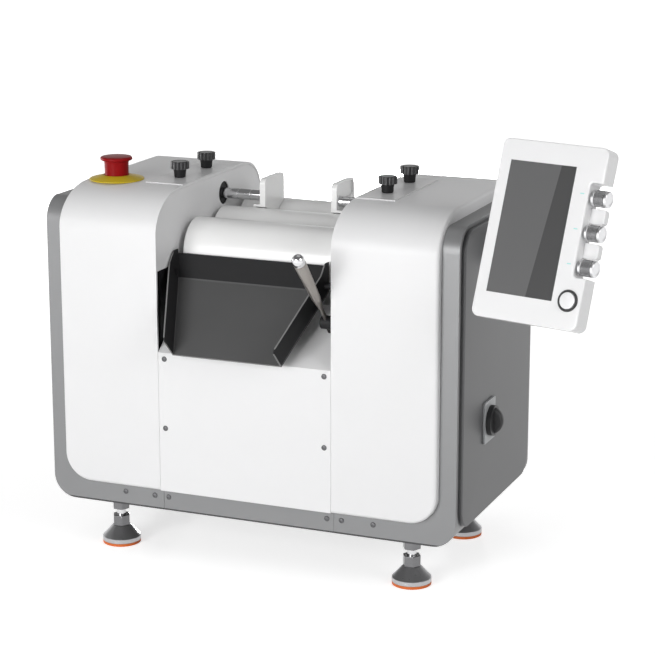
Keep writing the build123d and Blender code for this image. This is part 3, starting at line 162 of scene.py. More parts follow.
class MillColours(bpy.types.PropertyGroup):
    """Colours of the mill's finishes"""

    covers: bpy.props.FloatVectorProperty(
        name="Covers", description="White paint of the column covers and front panel",
        subtype="COLOR", size=3, min=0.0, max=1.0, default=(0.83, 0.83, 0.835),
    )
    frame_grey: bpy.props.FloatVectorProperty(
        name="Frame", description="Grey paint of the base frame and side covers",
        subtype="COLOR", size=3, min=0.0, max=1.0, default=(0.25, 0.252, 0.256),
    )
    side_grey: bpy.props.FloatVectorProperty(
        name="Side panels", description="Darker grey of the inset side panels",
        subtype="COLOR", size=3, min=0.0, max=1.0, default=(0.115, 0.116, 0.119),
    )
    rollers: bpy.props.FloatVectorProperty(
        name="Rollers", description="Ceramic of the three rollers and the hopper end plates",
        subtype="COLOR", size=3, min=0.0, max=1.0, default=(0.88, 0.88, 0.875),
    )
    tray: bpy.props.FloatVectorProperty(
        name="Tray walls", description="Dark coating on the walls of the scraper tray",
        subtype="COLOR", size=3, min=0.0, max=1.0, default=(0.026, 0.026, 0.027),
    )
    # Painted light: the floor has the same coating as the walls and is lighter only because it faces the light
    tray_floor: bpy.props.FloatVectorProperty(
        name="Tray floor", description="Lighter grey of the scraper tray's sloping floor",
        subtype="COLOR", size=3, min=0.0, max=1.0, default=(0.1, 0.1, 0.101),
    )
    stop_head: bpy.props.FloatVectorProperty(
        name="Stop head", description="Red of the emergency stop's head",
        subtype="COLOR", size=3, min=0.0, max=1.0, default=(0.27, 0.003, 0.005),
    )
    stop_ring: bpy.props.FloatVectorProperty(
        name="Stop ring", description="Yellow of the ring under the emergency stop",
        subtype="COLOR", size=3, min=0.0, max=1.0, default=(0.6, 0.44, 0.02),
    )
    pads: bpy.props.FloatVectorProperty(
        name="Foot pads", description="Orange of the rubber under the feet",
        subtype="COLOR", size=3, min=0.0, max=1.0, default=(0.72, 0.16, 0.03),
    )


class MillSizes(bpy.types.PropertyGroup):
    """Sizes of the details that are added to the model"""

    edge_softness: bpy.props.FloatProperty(
        name="Edge softness", description="Width of the small bevel on panels, shells and nuts",
        unit="LENGTH", min=0.0001, max=0.003, default=0.0006,
    )
    rib_count: bpy.props.IntProperty(
        name="Thumbscrew ribs", description="Number of grip ribs round each thumbscrew head",
        min=6, max=40, default=14,
    )
    rib_radius: bpy.props.FloatProperty(
        name="Rib radius", description="Radius of one grip rib on a thumbscrew",
        unit="LENGTH", min=0.0005, max=0.003, default=0.0019,
    )
    screw_radius: bpy.props.FloatProperty(
        name="Screw head radius", description="Radius of the small panel screws",
        unit="LENGTH", min=0.001, max=0.006, default=0.0035,
    )
    dial_ribs: bpy.props.IntProperty(
        name="Dial grooves", description="Number of fine grooves round each dial",
        min=8, max=90, default=48,
    )


def colours():
    return bpy.context.scene.mill_colours


def sizes():
    return bpy.context.scene.mill_sizes


# Node trees


def new_tree(name, kind, inputs, outputs):
    """New node group with its sockets: the group, what it is given and where its result goes."""
    tree = bpy.data.node_groups.new(name, kind)
    for way, sockets in (("INPUT", inputs), ("OUTPUT", outputs)):
        for label, socket_kind in sockets:
            tree.interface.new_socket(
                name=label, in_out=way, socket_type="NodeSocket" + socket_kind,
            )
    given = tree.nodes.new("NodeGroupInput").outputs
    return tree, given, tree.nodes.new("NodeGroupOutput").inputs


def add_node(tree, kind, feeds=None, **settings):
    """New node with its settings. A feed that is a socket is linked, any other is a value."""
    node = tree.nodes.new(kind)
    for name, value in settings.items():
        setattr(node, name, value)
    for label, feed in (feeds or {}).items():
        if isinstance(feed, bpy.types.NodeSocket):
            tree.links.new(feed, node.inputs[label])
        else:
            node.inputs[label].default_value = feed
    return node


def maths(tree, operation, *feeds, **settings):
    """Result of a maths node that works on sockets or values."""
    node = add_node(
        tree, "ShaderNodeMath", dict(enumerate(feeds)), operation=operation, **settings,
    )
    return node.outputs[0]


# Surfaces


def fine_surface_group():
    """Grain, streaks and a slight mottle that paint, metal and plastic share."""
    name = "Fine surface"
    if name in bpy.data.node_groups:
        return bpy.data.node_groups[name]
    tree, given, result = new_tree(name, "ShaderNodeTree", (
        ("Colour", "Color"),
        ("Mottle", "Float"),
        ("Roughness", "Float"),
        ("Roughness Spread", "Float"),
        ("Stretch", "Vector"),
        ("Grain Scale", "Float"),
        ("Grain Depth", "Float"),
    ), (("Colour", "Color"), ("Roughness", "Float"), ("Normal", "Vector")))
    place = add_node(tree, "ShaderNodeTexCoord").outputs["Object"]
    stretched = add_node(
        tree, "ShaderNodeVectorMath", {0: place, 1: given["Stretch"]}, operation="MULTIPLY",
    )
    grain = add_node(tree, "ShaderNodeTexNoise", {
        "Vector": stretched.outputs[0], "Scale": given["Grain Scale"], "Detail": 3.0,
    }).outputs["Fac"]
    cloud = add_node(tree, "ShaderNodeTexNoise", {
        "Vector": place, "Scale": 22.0, "Detail": 4.0,
    }).outputs["Fac"]
    centred = maths(tree, "SUBTRACT", cloud, 0.5)
    amount = maths(tree, "MULTIPLY_ADD", centred, given["Mottle"], 1.0)
    tint = add_node(
        tree, "ShaderNodeVectorMath", {0: given["Colour"], "Scale": amount}, operation="SCALE",
    )
    tree.links.new(tint.outputs[0], result["Colour"])
    wave = maths(tree, "SUBTRACT", grain, 0.5)
    rough = maths(
        tree, "MULTIPLY_ADD", wave, given["Roughness Spread"], given["Roughness"], use_clamp=True,
    )
    tree.links.new(rough, result["Roughness"])
    bump = add_node(tree, "ShaderNodeBump", {
        "Distance": 0.0001, "Strength": given["Grain Depth"], "Height": grain,
    })
    tree.links.new(bump.outputs["Normal"], result["Normal"])
    return tree


# What a finish has where it says nothing else
PLAIN_FINISH = dict(
    metallic=0.0, mottle=0.03, spread=0.06, stretch=(1.0, 1.0, 1.0),
    scale=900.0, depth=0.1, coat=0.0, specular=0.5,
)
COAT_ROUGHNESS = 0.06
# A colour that is a word is one of the sidebar's colours
FINISHES = {
    "Satin white paint": dict(
        colour="covers", roughness=0.42, mottle=0.012, scale=1400.0, depth=0.06, specular=0.4,
    ),
    "Service plate paint": dict(
        colour=(0.72, 0.72, 0.725), roughness=0.36, mottle=0.015, scale=1400.0, depth=0.06,
    ),
    "Grey metallic paint": dict(colour="frame_grey", roughness=0.4, metallic=0.2, scale=2200.0),
    "Dark grey paint": dict(colour="side_grey", roughness=0.42, metallic=0.2, scale=2200.0),
    "Arm paint": dict(colour=(0.5, 0.5, 0.51), roughness=0.4, metallic=0.2, scale=1800.0),
    "Motor paint": dict(
        colour=(0.05, 0.06, 0.08), roughness=0.45, metallic=0.2, mottle=0.06, scale=1200.0,
        depth=0.2,
    ),
    "Black paint": dict(
        colour=(0.01, 0.01, 0.011), roughness=0.55, specular=0.25, mottle=0.1, scale=1500.0,
        depth=0.12,
    ),
    "Tray coating": dict(
        colour="tray", roughness=0.5, mottle=0.08, spread=0.1, scale=1600.0, depth=0.08,
        specular=0.06,
    ),
    "Roller ceramic": dict(
        colour="rollers", roughness=0.3, mottle=0.01, scale=700.0, depth=0.03, coat=0.2,
    ),
    "Polished steel": dict(
        colour=(0.68, 0.68, 0.69), roughness=0.1, metallic=1.0, mottle=0.02, spread=0.08,
        scale=500.0, depth=0.02,
    ),
    "Turned steel": dict(
        colour=(0.55, 0.55, 0.56), roughness=0.28, metallic=1.0, mottle=0.04, spread=0.2,
        stretch=(6.0, 1.0, 1.0), scale=500.0, depth=0.12,
    ),
    "Machined steel": dict(
        colour=(0.36, 0.36, 0.37), roughness=0.38, metallic=1.0, mottle=0.06, spread=0.15,
        stretch=(1.0, 1.0, 5.0), scale=500.0, depth=0.12,
    ),
    "Screw steel": dict(
        colour=(0.14, 0.14, 0.145), roughness=0.5, metallic=0.9, mottle=0.1, spread=0.15,
        scale=1500.0,
    ),
    "Warm brushed metal": dict(
        colour=(0.31, 0.29, 0.272), roughness=0.36, metallic=0.85, mottle=0.06, spread=0.25,
        stretch=(1.0, 6.0, 6.0), scale=420.0, depth=0.12,
    ),
    "Dark knob metal": dict(
        colour=(0.055, 0.055, 0.057), roughness=0.36, metallic=0.7, mottle=0.08, spread=0.15,
    ),
    "Dial grip metal": dict(
        colour=(0.26, 0.26, 0.265), roughness=0.24, metallic=1.0, spread=0.15, depth=0.08,
    ),
    "Satin aluminium": dict(
        colour=(0.7, 0.7, 0.71), roughness=0.3, metallic=1.0, spread=0.15,
        stretch=(1.0, 8.0, 8.0), scale=400.0,
    ),
    "Satin chrome": dict(
        colour=(0.5, 0.5, 0.51), roughness=0.3, metallic=0.85, spread=0.12, scale=500.0,
        depth=0.05,
    ),
    "Dark chrome": dict(
        colour=(0.2, 0.2, 0.205), roughness=0.16, metallic=1.0, spread=0.1, scale=500.0,
        depth=0.03,
    ),
    "Black plastic": dict(
        colour=(0.016, 0.016, 0.017), roughness=0.42, mottle=0.1, scale=1800.0, depth=0.2,
    ),
    "Glossy white plastic": dict(
        colour=(0.9, 0.9, 0.905), roughness=0.2, mottle=0.01, depth=0.03, coat=0.4,
    ),
    "Switch plate plastic": dict(
        colour=(0.42, 0.43, 0.44), roughness=0.4, scale=1500.0, depth=0.12,
    ),
    "Red plastic": dict(
        colour="stop_head", roughness=0.4, mottle=0.04, scale=1500.0, depth=0.08, specular=0.12,
    ),
    "Yellow plastic": dict(
        colour="stop_ring", roughness=0.42, mottle=0.04, scale=1300.0, specular=0.3,
    ),
    "Orange rubber": dict(colour="pads", roughness=0.55, mottle=0.06, scale=1500.0, depth=0.2),
    "Belt rubber": dict(
        colour=(0.02, 0.02, 0.02), roughness=0.7, mottle=0.15, scale=1200.0, depth=0.4,
    ),
    # Its grey is the lit part of a painted reflection; the control panel step darkens the right of the screen
    "Screen glass": dict(
        colour=(0.12, 0.12, 0.122), roughness=0.12, mottle=0.02, scale=600.0, depth=0.01, coat=0.6,
    ),
}


def finish(name):
    """The finish of that name, made when it is first asked for."""
    if name in bpy.data.materials:
        return bpy.data.materials[name]
    values = dict(PLAIN_FINISH, **FINISHES[name])
    colour = values["colour"]
    if isinstance(colour, str):
        colour = getattr(colours(), colour)
    material = bpy.data.materials.new(name)
    material.use_nodes = True
    tree = material.node_tree
    shader = tree.nodes["Principled BSDF"].inputs
    shader["Metallic"].default_value = values["metallic"]
    shader["Coat Weight"].default_value = values["coat"]
    shader["Coat Roughness"].default_value = COAT_ROUGHNESS
    shader["Specular IOR Level"].default_value = values["specular"]
    surface = tree.nodes.new("ShaderNodeGroup")
    surface.node_tree = fine_surface_group()
    for label, value in (
        ("Colour", (*colour, 1.0)), ("Mottle", values["mottle"]),
        ("Roughness", values["roughness"]), ("Roughness Spread", values["spread"]),
        ("Stretch", values["stretch"]), ("Grain Scale", values["scale"]),
        ("Grain Depth", values["depth"]),
    ):
        surface.inputs[label].default_value = value
    tree.links.new(surface.outputs["Colour"], shader["Base Color"])
    tree.links.new(surface.outputs["Roughness"], shader["Roughness"])
    tree.links.new(surface.outputs["Normal"], shader["Normal"])
    return material


# The colour sockets of a mix node, which has one set for each kind of value
MIX_FIRST, MIX_SECOND, MIX_RESULT = 6, 7, 2
TONE_BLUR = 0.1 * MM


def tone_beyond(material, origin, direction, reach, tone):
    """Another tone where the surface lies more than reach along direction from origin."""
    tree = material.node_tree
    surface = next(node for node in tree.nodes if node.type == "GROUP")
    given = surface.inputs["Colour"]
    place = add_node(tree, "ShaderNodeTexCoord").outputs["Object"]
    along = add_node(
        tree, "ShaderNodeVectorMath", {0: place, 1: direction}, operation="DOT_PRODUCT",
    )
    start = Vector(origin).dot(Vector(direction)) + reach
    ramp = add_node(tree, "ShaderNodeMapRange", {
        "Value": along.outputs["Value"],
        "From Min": start - TONE_BLUR,
        "From Max": start + TONE_BLUR,
    })
    blend = add_node(tree, "ShaderNodeMix", {
        "Factor": ramp.outputs["Result"],
        MIX_FIRST: given.default_value[:],
        MIX_SECOND: (*tone, 1.0),
    }, data_type="RGBA")
    if given.is_linked:
        tree.links.new(given.links[0].from_socket, blend.inputs[MIX_FIRST])
    tree.links.new(blend.outputs[MIX_RESULT], given)


# Meshes


def link_mesh(name, mesh, material, body):
    """Puts a finished mesh into the scene at the origin and ties it to its body."""
    piece = bpy.data.objects.new(name, mesh)
    bpy.context.scene.collection.objects.link(piece)
    mesh.materials.clear()
    mesh.materials.append(material)
    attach(piece, body)
    return piece


def smooth_by_angle(mesh):
    mesh.polygons.foreach_set("use_smooth", [True] * len(mesh.polygons))
    mesh.set_sharp_from_angle(angle=math.radians(SHARP_ANGLE))
    mesh.update()


def soft_edges(piece, width, sharp_angle):
    """Bevel on the edges that are sharper than the given angle."""
    bevel = piece.modifiers.new("Soft edges", "BEVEL")
    bevel.width = width
    bevel.segments = 2
    bevel.limit_method = "ANGLE"
    bevel.angle_limit = math.radians(sharp_angle)
    return bevel


def axis_matrix(origin, axis, sideways=None):
    """Matrix that takes local Z to axis and local X to sideways, at origin."""
    z = Vector(axis).normalized()
    x = Vector(sideways) if sideways is not None else z.orthogonal()
    x = (x - z * x.dot(z)).normalized()
    y = z.cross(x)
    turn = Matrix((x, y, z)).transposed().to_4x4()
    turn.translation = Vector(origin)
    return turn


def in_mm(profile, base=0.0):
    """Metres from a profile in millimetres, whose heights count from base."""
    return [(radius * MM, base + height * MM) for radius, height in profile]


def turned(profile, segments, closed=False):
    """Shape turned from (radius, height) pairs: from axis to axis, or a closed loop."""
    shape = bmesh.new()
    rings = []
    for radius, height in profile:
        if radius < 1e-9:
            rings.append([shape.verts.new((0.0, 0.0, height))])
            continue
        rings.append([
            shape.verts.new((
                radius * math.cos(2 * math.pi * step / segments),
                radius * math.sin(2 * math.pi * step / segments),
                height,
            ))
            for step in range(segments)
        ])
    after_each = rings[1:] + (rings[:1] if closed else [])
    for low, high in zip(rings, after_each):
        for step in range(segments):
            after = (step + 1) % segments
            if len(low) == 1:
                shape.faces.new((low[0], high[after], high[step]))
            elif len(high) == 1:
                shape.faces.new((low[step], low[after], high[0]))
            else:
                shape.faces.new((low[step], low[after], high[after], high[step]))
    bmesh.ops.recalc_face_normals(shape, faces=shape.faces)
    return shape


def rounded_block(width, height, depth, corner, steps=5):
    """Plate in local XY with rounded corners, its top at zero, going down by depth."""
    shape = bmesh.new()
    outline = []
    for cx, cy, start in (
        (width / 2 - corner, height / 2 - corner, 0.0),
        (-width / 2 + corner, height / 2 - corner, 90.0),
        (-width / 2 + corner, -height / 2 + corner, 180.0),
        (width / 2 - corner, -height / 2 + corner, 270.0),
    ):
        for step in range(steps + 1):
            angle = math.radians(start + 90.0 * step / steps)
            outline.append((cx + corner * math.cos(angle), cy + corner * math.sin(angle)))
    top = [shape.verts.new((x, y, 0.0)) for x, y in outline]
    low = [shape.verts.new((x, y, -depth)) for x, y in outline]
    shape.faces.new(top)
    shape.faces.new(list(reversed(low)))
    count = len(outline)
    for index in range(count):
        after = (index + 1) % count
        shape.faces.new((top[index], low[index], low[after], top[after]))
    bmesh.ops.recalc_face_normals(shape, faces=shape.faces)
    return shape


def add_piece(name, shapes, place, material, body):
    """One piece from several shapes, moved to its place."""
    whole = bmesh.new()
    for shape in shapes:
        part = bpy.data.meshes.new(name + " part")
        shape.to_mesh(part)
        shape.free()
        whole.from_mesh(part)
        bpy.data.meshes.remove(part)
    bmesh.ops.transform(whole, matrix=place, verts=whole.verts)
    mesh = bpy.data.meshes.new(name)
    whole.to_mesh(mesh)
    whole.free()
    smooth_by_angle(mesh)
    return link_mesh(name, mesh, material, body)


def soften(material, nodes, width=None):
    """Replaces CAD nodes by copies with merged doubles and bevelled sharp edges."""
    for node in nodes:
        mesh = NODES[node].data.copy()
        mesh.name = node + " finished"
        shape = bmesh.new()
        shape.from_mesh(mesh)
        bmesh.ops.remove_doubles(shape, verts=shape.verts, dist=MERGE_DISTANCE)
        bmesh.ops.dissolve_limit(
            shape, angle_limit=FLAT_ANGLE, verts=shape.verts, edges=shape.edges,
            delimit={"NORMAL"},
        )
        shape.to_mesh(mesh)
        shape.free()
        smooth_by_angle(mesh)
        piece = link_mesh(node + "_finished", mesh, material, BODY_OF[node])
        bevel = soft_edges(piece, width or sizes().edge_softness, SHARP_ANGLE)
        bevel.harden_normals = True
        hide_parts(node)


def dress(material, nodes):
    """Gives CAD nodes their material."""
    for node in nodes:
        NODES[node].data.materials.clear()
        NODES[node].data.materials.append(material)


def upright_place(node):
    """Matrix that moves a shape turned round the origin over the middle of a node."""
    low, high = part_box(node)
    centre = (Vector(low) + Vector(high)) / 2
    return Matrix.Translation((centre.x, centre.y, 0.0))


def panel_point(u, v, w):
    """Point on the control panel: u across, v up and w out of its face, in millimetres."""
    return SCREEN_CENTRE + ACROSS * (u * MM) + PANEL_UP * (v * MM) + FACE_OUT * (w * MM)


def panel_matrix(u, v, w):
    turn = Matrix((ACROSS, PANEL_UP, FACE_OUT)).transposed().to_4x4()
    turn.translation = panel_point(u, v, w)
    return turn


# Shapes grown by geometry trees


def grown_mesh(name, tree, values, start=None):
    """Evaluates a geometry tree once and returns the plain mesh it makes."""
    start = start or bpy.data.meshes.new(name + " carrier")
    carrier = bpy.data.objects.new(name + " carrier", start)
    bpy.context.scene.collection.objects.link(carrier)
    modifier = carrier.modifiers.new("Growth", "NODES")
    modifier.node_group = tree
    for item in tree.interface.items_tree:
        if item.in_out == "INPUT" and item.name in values:
            modifier[item.identifier] = values[item.name]
    bpy.context.view_layer.update()
    graph = bpy.context.evaluated_depsgraph_get()
    mesh = bpy.data.meshes.new_from_object(carrier.evaluated_get(graph), depsgraph=graph)
    mesh.name = name
    carrier.modifiers.clear()
    bpy.data.objects.remove(carrier)
    smooth_by_angle(mesh)
    return mesh


def painted_result(tree, geometry, given, result):
    """Ends a geometry tree with the given material on its geometry."""
    paint = add_node(tree, "GeometryNodeSetMaterial", {
        "Geometry": geometry, "Material": given["Material"],
    })
    tree.links.new(paint.outputs[0], result[0])


def ribbed_head_tree():
    """Round grip head: a core with ribs set round it."""
    name = "Ribbed head"
    if name in bpy.data.node_groups:
        return bpy.data.node_groups[name]
    tree, given, result = new_tree(name, "GeometryNodeTree", (
        ("Ribs", "Int"),
        ("Core Radius", "Float"),
        ("Rib Radius", "Float"),
        ("Height", "Float"),
        ("Place", "Vector"),
        ("Turn", "Vector"),
        ("Material", "Material"),
    ), (("Geometry", "Geometry"),))
    circle = add_node(tree, "GeometryNodeMeshCircle", {
        "Vertices": given["Ribs"], "Radius": given["Core Radius"],
    })
    rib = add_node(tree, "GeometryNodeMeshCylinder", {
        "Vertices": 10, "Radius": given["Rib Radius"], "Depth": given["Height"],
    })
    spread = add_node(tree, "GeometryNodeInstanceOnPoints", {
        "Points": circle.outputs["Mesh"], "Instance": rib.outputs["Mesh"],
    })
    core = add_node(tree, "GeometryNodeMeshCylinder", {
        "Vertices": 72,
        "Radius": given["Core Radius"],
        "Depth": maths(tree, "MULTIPLY", given["Height"], 1.04),
    })
    both = add_node(tree, "GeometryNodeJoinGeometry", {0: spread.outputs["Instances"]})
    tree.links.new(core.outputs["Mesh"], both.inputs[0])
    real = add_node(tree, "GeometryNodeRealizeInstances", {0: both.outputs[0]})
    move = add_node(tree, "GeometryNodeTransform", {
        "Geometry": real.outputs[0], "Translation": given["Place"], "Rotation": given["Turn"],
    })
    painted_result(tree, move.outputs[0], given, result)
    return tree


def screw_tree():
    """Button head screws with a hexagon socket on each given point."""
    name = "Panel screws"
    if name in bpy.data.node_groups:
        return bpy.data.node_groups[name]
    tree, given, result = new_tree(name, "GeometryNodeTree", (
        ("Geometry", "Geometry"),
        ("Head Radius", "Float"),
        ("Head Height", "Float"),
        ("Socket Radius", "Float"),
        ("Material", "Material"),
    ), (("Geometry", "Geometry"),))
    head = add_node(tree, "GeometryNodeMeshUVSphere", {
        "Segments": 32, "Rings": 16, "Radius": given["Head Radius"],
    })
    squeeze = add_node(tree, "ShaderNodeCombineXYZ", {
        "X": 1.0, "Y": 1.0, "Z": maths(tree, "DIVIDE", given["Head Height"], given["Head Radius"]),
    })
    flat = add_node(tree, "GeometryNodeTransform", {
        "Geometry": head.outputs["Mesh"], "Scale": squeeze.outputs[0],
    })
    socket = add_node(tree, "GeometryNodeMeshCylinder", {
        "Vertices": 6, "Radius": given["Socket Radius"], "Depth": given["Head Height"],
    })
    raised = add_node(tree, "ShaderNodeCombineXYZ", {"Z": given["Head Height"]})
    lift = add_node(tree, "GeometryNodeTransform", {
        "Geometry": socket.outputs["Mesh"], "Translation": raised.outputs[0],
    })
    cut = add_node(tree, "GeometryNodeMeshBoolean", {
        "Mesh 1": flat.outputs[0], "Mesh 2": lift.outputs[0],
    }, operation="DIFFERENCE")
    spread = add_node(tree, "GeometryNodeInstanceOnPoints", {
        "Points": given["Geometry"],
        "Instance": cut.outputs["Mesh"],
        "Rotation": (math.radians(90), 0.0, 0.0),
    })
    real = add_node(tree, "GeometryNodeRealizeInstances", {0: spread.outputs[0]})
    painted_result(tree, real.outputs[0], given, result)
    return tree


# Operators


class MILL_OT_covers(bpy.types.Operator):
    """Finish the white covers, panels and service plates"""

    bl_idname = "mill.covers"
    bl_label = "White covers"

    def execute(self, context):
        white = finish("Satin white paint")
        soften(white, ("left_column_cover", "right_column_cover"), FINE_EDGE)
        soften(white, ("inner_covers", "front_panel", "rear_panel"))
        soften(finish("Service plate paint"), ("service_plates",), FINE_EDGE)
        return {"FINISHED"}


class MILL_OT_base_frame(bpy.types.Operator):
    """Finish the grey side covers, the centre strip and the inset side panels"""

    bl_idname = "mill.base_frame"
    bl_label = "Grey frame"

    def execute(self, context):
        paint = finish("Grey metallic paint")
        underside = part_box("centre_skirt")[0]
        # Painted shade: the grey paint turns dark along the bottom of the frame, where its lower rounding faces
        # down
        tone_beyond(paint, underside, (0.0, 0.0, -1.0), -FRAME_SHADE_RIM, (0.05, 0.05, 0.052))
        soften(paint, ("left_side_cover", "right_side_cover", "centre_skirt"), FRAME_EDGE)
        soften(finish("Dark grey paint"), ("side_panels",), FINE_EDGE)
        return {"FINISHED"}


class MILL_OT_rollers(bpy.types.Operator):
    """Finish the rollers, their shafts and the hopper plates on their rods"""

    bl_idname = "mill.rollers"
    bl_label = "Rollers and hopper"

    def execute(self, context):
        ceramic = finish("Roller ceramic")
        soften(ceramic, ("apron_roller", "centre_roller", "feed_roller"), ROLLER_EDGE)
        dress(finish("Turned steel"), ("apron_shaft", "centre_shaft", "feed_shaft"))
        soften(ceramic, ("left_cheek", "right_cheek"), CHEEK_EDGE)
        soften(finish("Polished steel"), ("left_rod", "right_rod"), FINE_EDGE)
        return {"FINISHED"}


class MILL_OT_tray(bpy.types.Operator):
    """Finish the scraper tray and its blade"""

    bl_idname = "mill.tray"
    bl_label = "Scraper tray"

    def execute(self, context):
        coating = finish("Tray coating")
        # Painted light: the floor gets a lighter copy of the walls' coating
        tone_beyond(coating, TRAY_FOLD, TRAY_BELOW, LIT_FLOOR_REACH, colours().tray_floor)
        # Painted highlights along the back wall's top edge and the front lip
        tone_beyond(coating, TRAY_FOLD, TRAY_ABOVE, RIM_HIGHLIGHT_REACH, RIM_HIGHLIGHT_TONE)
        tone_beyond(coating, TRAY_FOLD, TRAY_ALONG, LIP_HIGHLIGHT_REACH, RIM_HIGHLIGHT_TONE)
        soften(coating, ("scraper_tray",), TRAY_EDGE)
        dress(finish("Machined steel"), ("scraper_blade",))
        return {"FINISHED"}


class MILL_OT_lever(bpy.types.Operator):
    """Build the release lever with its tapered rod and ball"""

    bl_idname = "mill.lever"
    bl_label = "Release lever"

    def execute(self, context):
        joint = next(item for item in frame["joints"] if item["name"] == "lever_turn")
        pivot = Vector(joint["pos_m"])
        along = Vector((0.0, -math.sin(LEVER_LEAN), math.cos(LEVER_LEAN)))
        rod = turned(in_mm([
            (0.0, 7.6), (2.4, 7.6), (2.75, 8.2), (2.75, 31.0),
            (3.1, 34.0), (5.1, 49.0), (5.7, 54.5), (6.3, 75.0),
        ]) + in_mm([(7.55, -7.4), (7.2, -6.6), (6.4, -6.4), (0.0, -6.4)], LEVER_REACH), 48)
        rod_piece = self.add_part("rod", rod, axis_matrix(pivot, along), "Warm brushed metal")
        arc = [math.pi * step / 24 for step in range(9, 24)]
        ball = turned([
            *in_mm([(0.0, -6.3), (6.2, -6.3), (7.2, -5.6)]),
            *[(BALL_RADIUS * math.sin(angle), -BALL_RADIUS * math.cos(angle)) for angle in arc],
            (0.0, BALL_RADIUS),
        ], 48)
        end = axis_matrix(pivot + along * LEVER_REACH, along)
        self.add_part("ball", ball, end, "Polished steel")
        level = Vector((1.0, 0.0, 0.0))
        hub = turned(
            in_mm([(4.1, 0.0), (7.8, 0.0), (8.5, 0.7)], -HUB_HALF)
            + in_mm([(8.5, -0.7), (7.8, 0.0), (4.1, 0.0)], HUB_HALF), 48, closed=True,
        )
        hub_piece = self.add_part("hub", hub, axis_matrix(pivot, level), "Black paint")
        tail = rounded_block(7.0 * MM, 14.0 * MM, 7.0 * MM, 1.2 * MM)
        tail_centre = pivot - along * TAIL_DROP_MM * MM + Vector((TAIL_HALF, 0.0, 0.0))
        tail_place = axis_matrix(tail_centre, level, along.cross(level))
        self.add_part("tail", tail, tail_place, "Black paint")
        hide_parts("lever_handle")
        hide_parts("lever_handle")
        return {"FINISHED"}

    def add_part(self, name, shape, place, surface):
        return add_piece("lever_" + name, [shape], place, finish(surface), "lever")


class MILL_OT_thumbscrews(bpy.types.Operator):
    """Build the ribbed thumbscrews on the column tops"""

    bl_idname = "mill.thumbscrews"
    bl_label = "Thumbscrews"

    def execute(self, context):
        rib = sizes().rib_radius
        knob_metal = finish("Dark knob metal")
        for node in THUMBSCREWS:
            low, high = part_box(node)
            place = upright_place(node)
            top = high[2]
            core = (high[0] - low[0]) / 2 - rib
            mesh = grown_mesh(node + "_grip", ribbed_head_tree(), {
                "Ribs": sizes().rib_count, "Core Radius": core, "Rib Radius": rib,
                "Height": KNOB_HEAD * GRIP_SHARE, "Material": knob_metal,
                "Place": (*place.translation.xy, top - KNOB_HEAD / 2),
            })
            grip = link_mesh(node + "_grip", mesh, knob_metal, node)
            neck_top = top - KNOB_HEAD
            neck_low = neck_top - KNOB_NECK
            neck = turned(
                in_mm([(0.0, 0.0), (6.6, 0.0), (7.4, 0.8)], neck_low)
                + in_mm([(7.75, -4.0), (8.4, -0.6), (8.4, 0.0), (0.0, 0.0)], neck_top), 48,
            )
            rim = [(core + out * MM, top + up * MM) for out, up in (
                (-1.6, -0.5), (-1.0, -0.05), (-0.3, -0.05), (0.0, -0.6), (0.0, -1.5),
            )]
            cap = turned([(0.0, rim[0][1]), *rim, (0.0, rim[-1][1])], 72)
            stud = turned(
                in_mm([(0.0, 0.0), (2.4, 0.0), (3.0, 0.6)], low[2])
                + in_mm([(3.0, 0.0), (0.0, 0.0)], neck_low), 24,
            )
            for label, shapes, surface in (
                ("_neck", [neck, cap], "Black paint"), ("_stud", [stud], "Turned steel"),
            ):
                add_piece(node + label, shapes, place, finish(surface), node)
            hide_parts(node)
        return {"FINISHED"}


class MILL_OT_emergency_stop(bpy.types.Operator):
    """Build the emergency stop's red head and yellow ring"""

    bl_idname = "mill.emergency_stop"
    bl_label = "Emergency stop"

    def execute(self, context):
        low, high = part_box("stop_head")
        body_low = high[2] - STOP_BODY
        place = upright_place("stop_head")
        head = turned(in_mm([(0.0, 0.0), (14.6, 0.0), (15.3, 1.0)], body_low) + in_mm([
            (15.5, -8.0), (16.2, -5.2), (19.4, -4.5), (20.2, -3.9), (20.5, -2.6),
            (20.3, -1.2), (19.3, -0.3), (18.0, 0.0), (0.0, 0.0),
        ], high[2]), 72)
        red = finish("Red plastic")
        piece = add_piece("stop_head_shape", [head], place, red, "stop")
        stem = turned(
            in_mm([(0.0, 0.0), (5.4, 0.0), (6.0, 0.6)], low[2])
            + in_mm([(6.0, 0.0), (0.0, 0.0)], body_low), 36,
        )
        add_piece("stop_stem", [stem], place, finish("Black plastic"), "stop")
        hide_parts("stop_head")
        ring = turned(in_mm([
            (16.0, 0.0), (34.2, 0.0), (35.0, 0.6), (34.9, 1.4), (34.0, 2.0),
            (19.6, 5.5), (18.6, 6.0), (17.6, 6.2), (16.3, 6.1), (16.0, 5.8),
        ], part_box("stop_ring")[0][2]), 96, closed=True)
        yellow = finish("Yellow plastic")
        piece = add_piece("stop_ring_shape", [ring], place, yellow, "frame")
        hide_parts("stop_ring")
        return {"FINISHED"}


class MILL_OT_screws(bpy.types.Operator):
    """Set button head screws on the front panel and the base strip"""

    bl_idname = "mill.screws"
    bl_label = "Panel screws"

    def execute(self, context):
        seats = [
            (side * FRONT_SCREW_X, FRONT_SCREW_Y, row)
            for side in (-1, 1) for row in FRONT_SCREW_ROWS
        ] + [
            (side * across + STRIP_SHIFT, STRIP_SCREW_Y, STRIP_SCREW_Z)
            for side in (-1, 1) for across in STRIP_SCREW_X
        ]
        points = bpy.data.meshes.new("screw seats")
        points.from_pydata([(x * MM, y * MM, z * MM) for x, y, z in seats], [], [])
        steel = finish("Screw steel")
        mesh = grown_mesh("panel_screw_heads", screw_tree(), {
            "Head Radius": sizes().screw_radius, "Head Height": 1.55 * MM,
            "Socket Radius": 1.5 * MM, "Material": steel,
        }, points)
        piece = link_mesh("panel_screw_heads", mesh, steel, "frame")
        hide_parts("panel_screws")
        return {"FINISHED"}


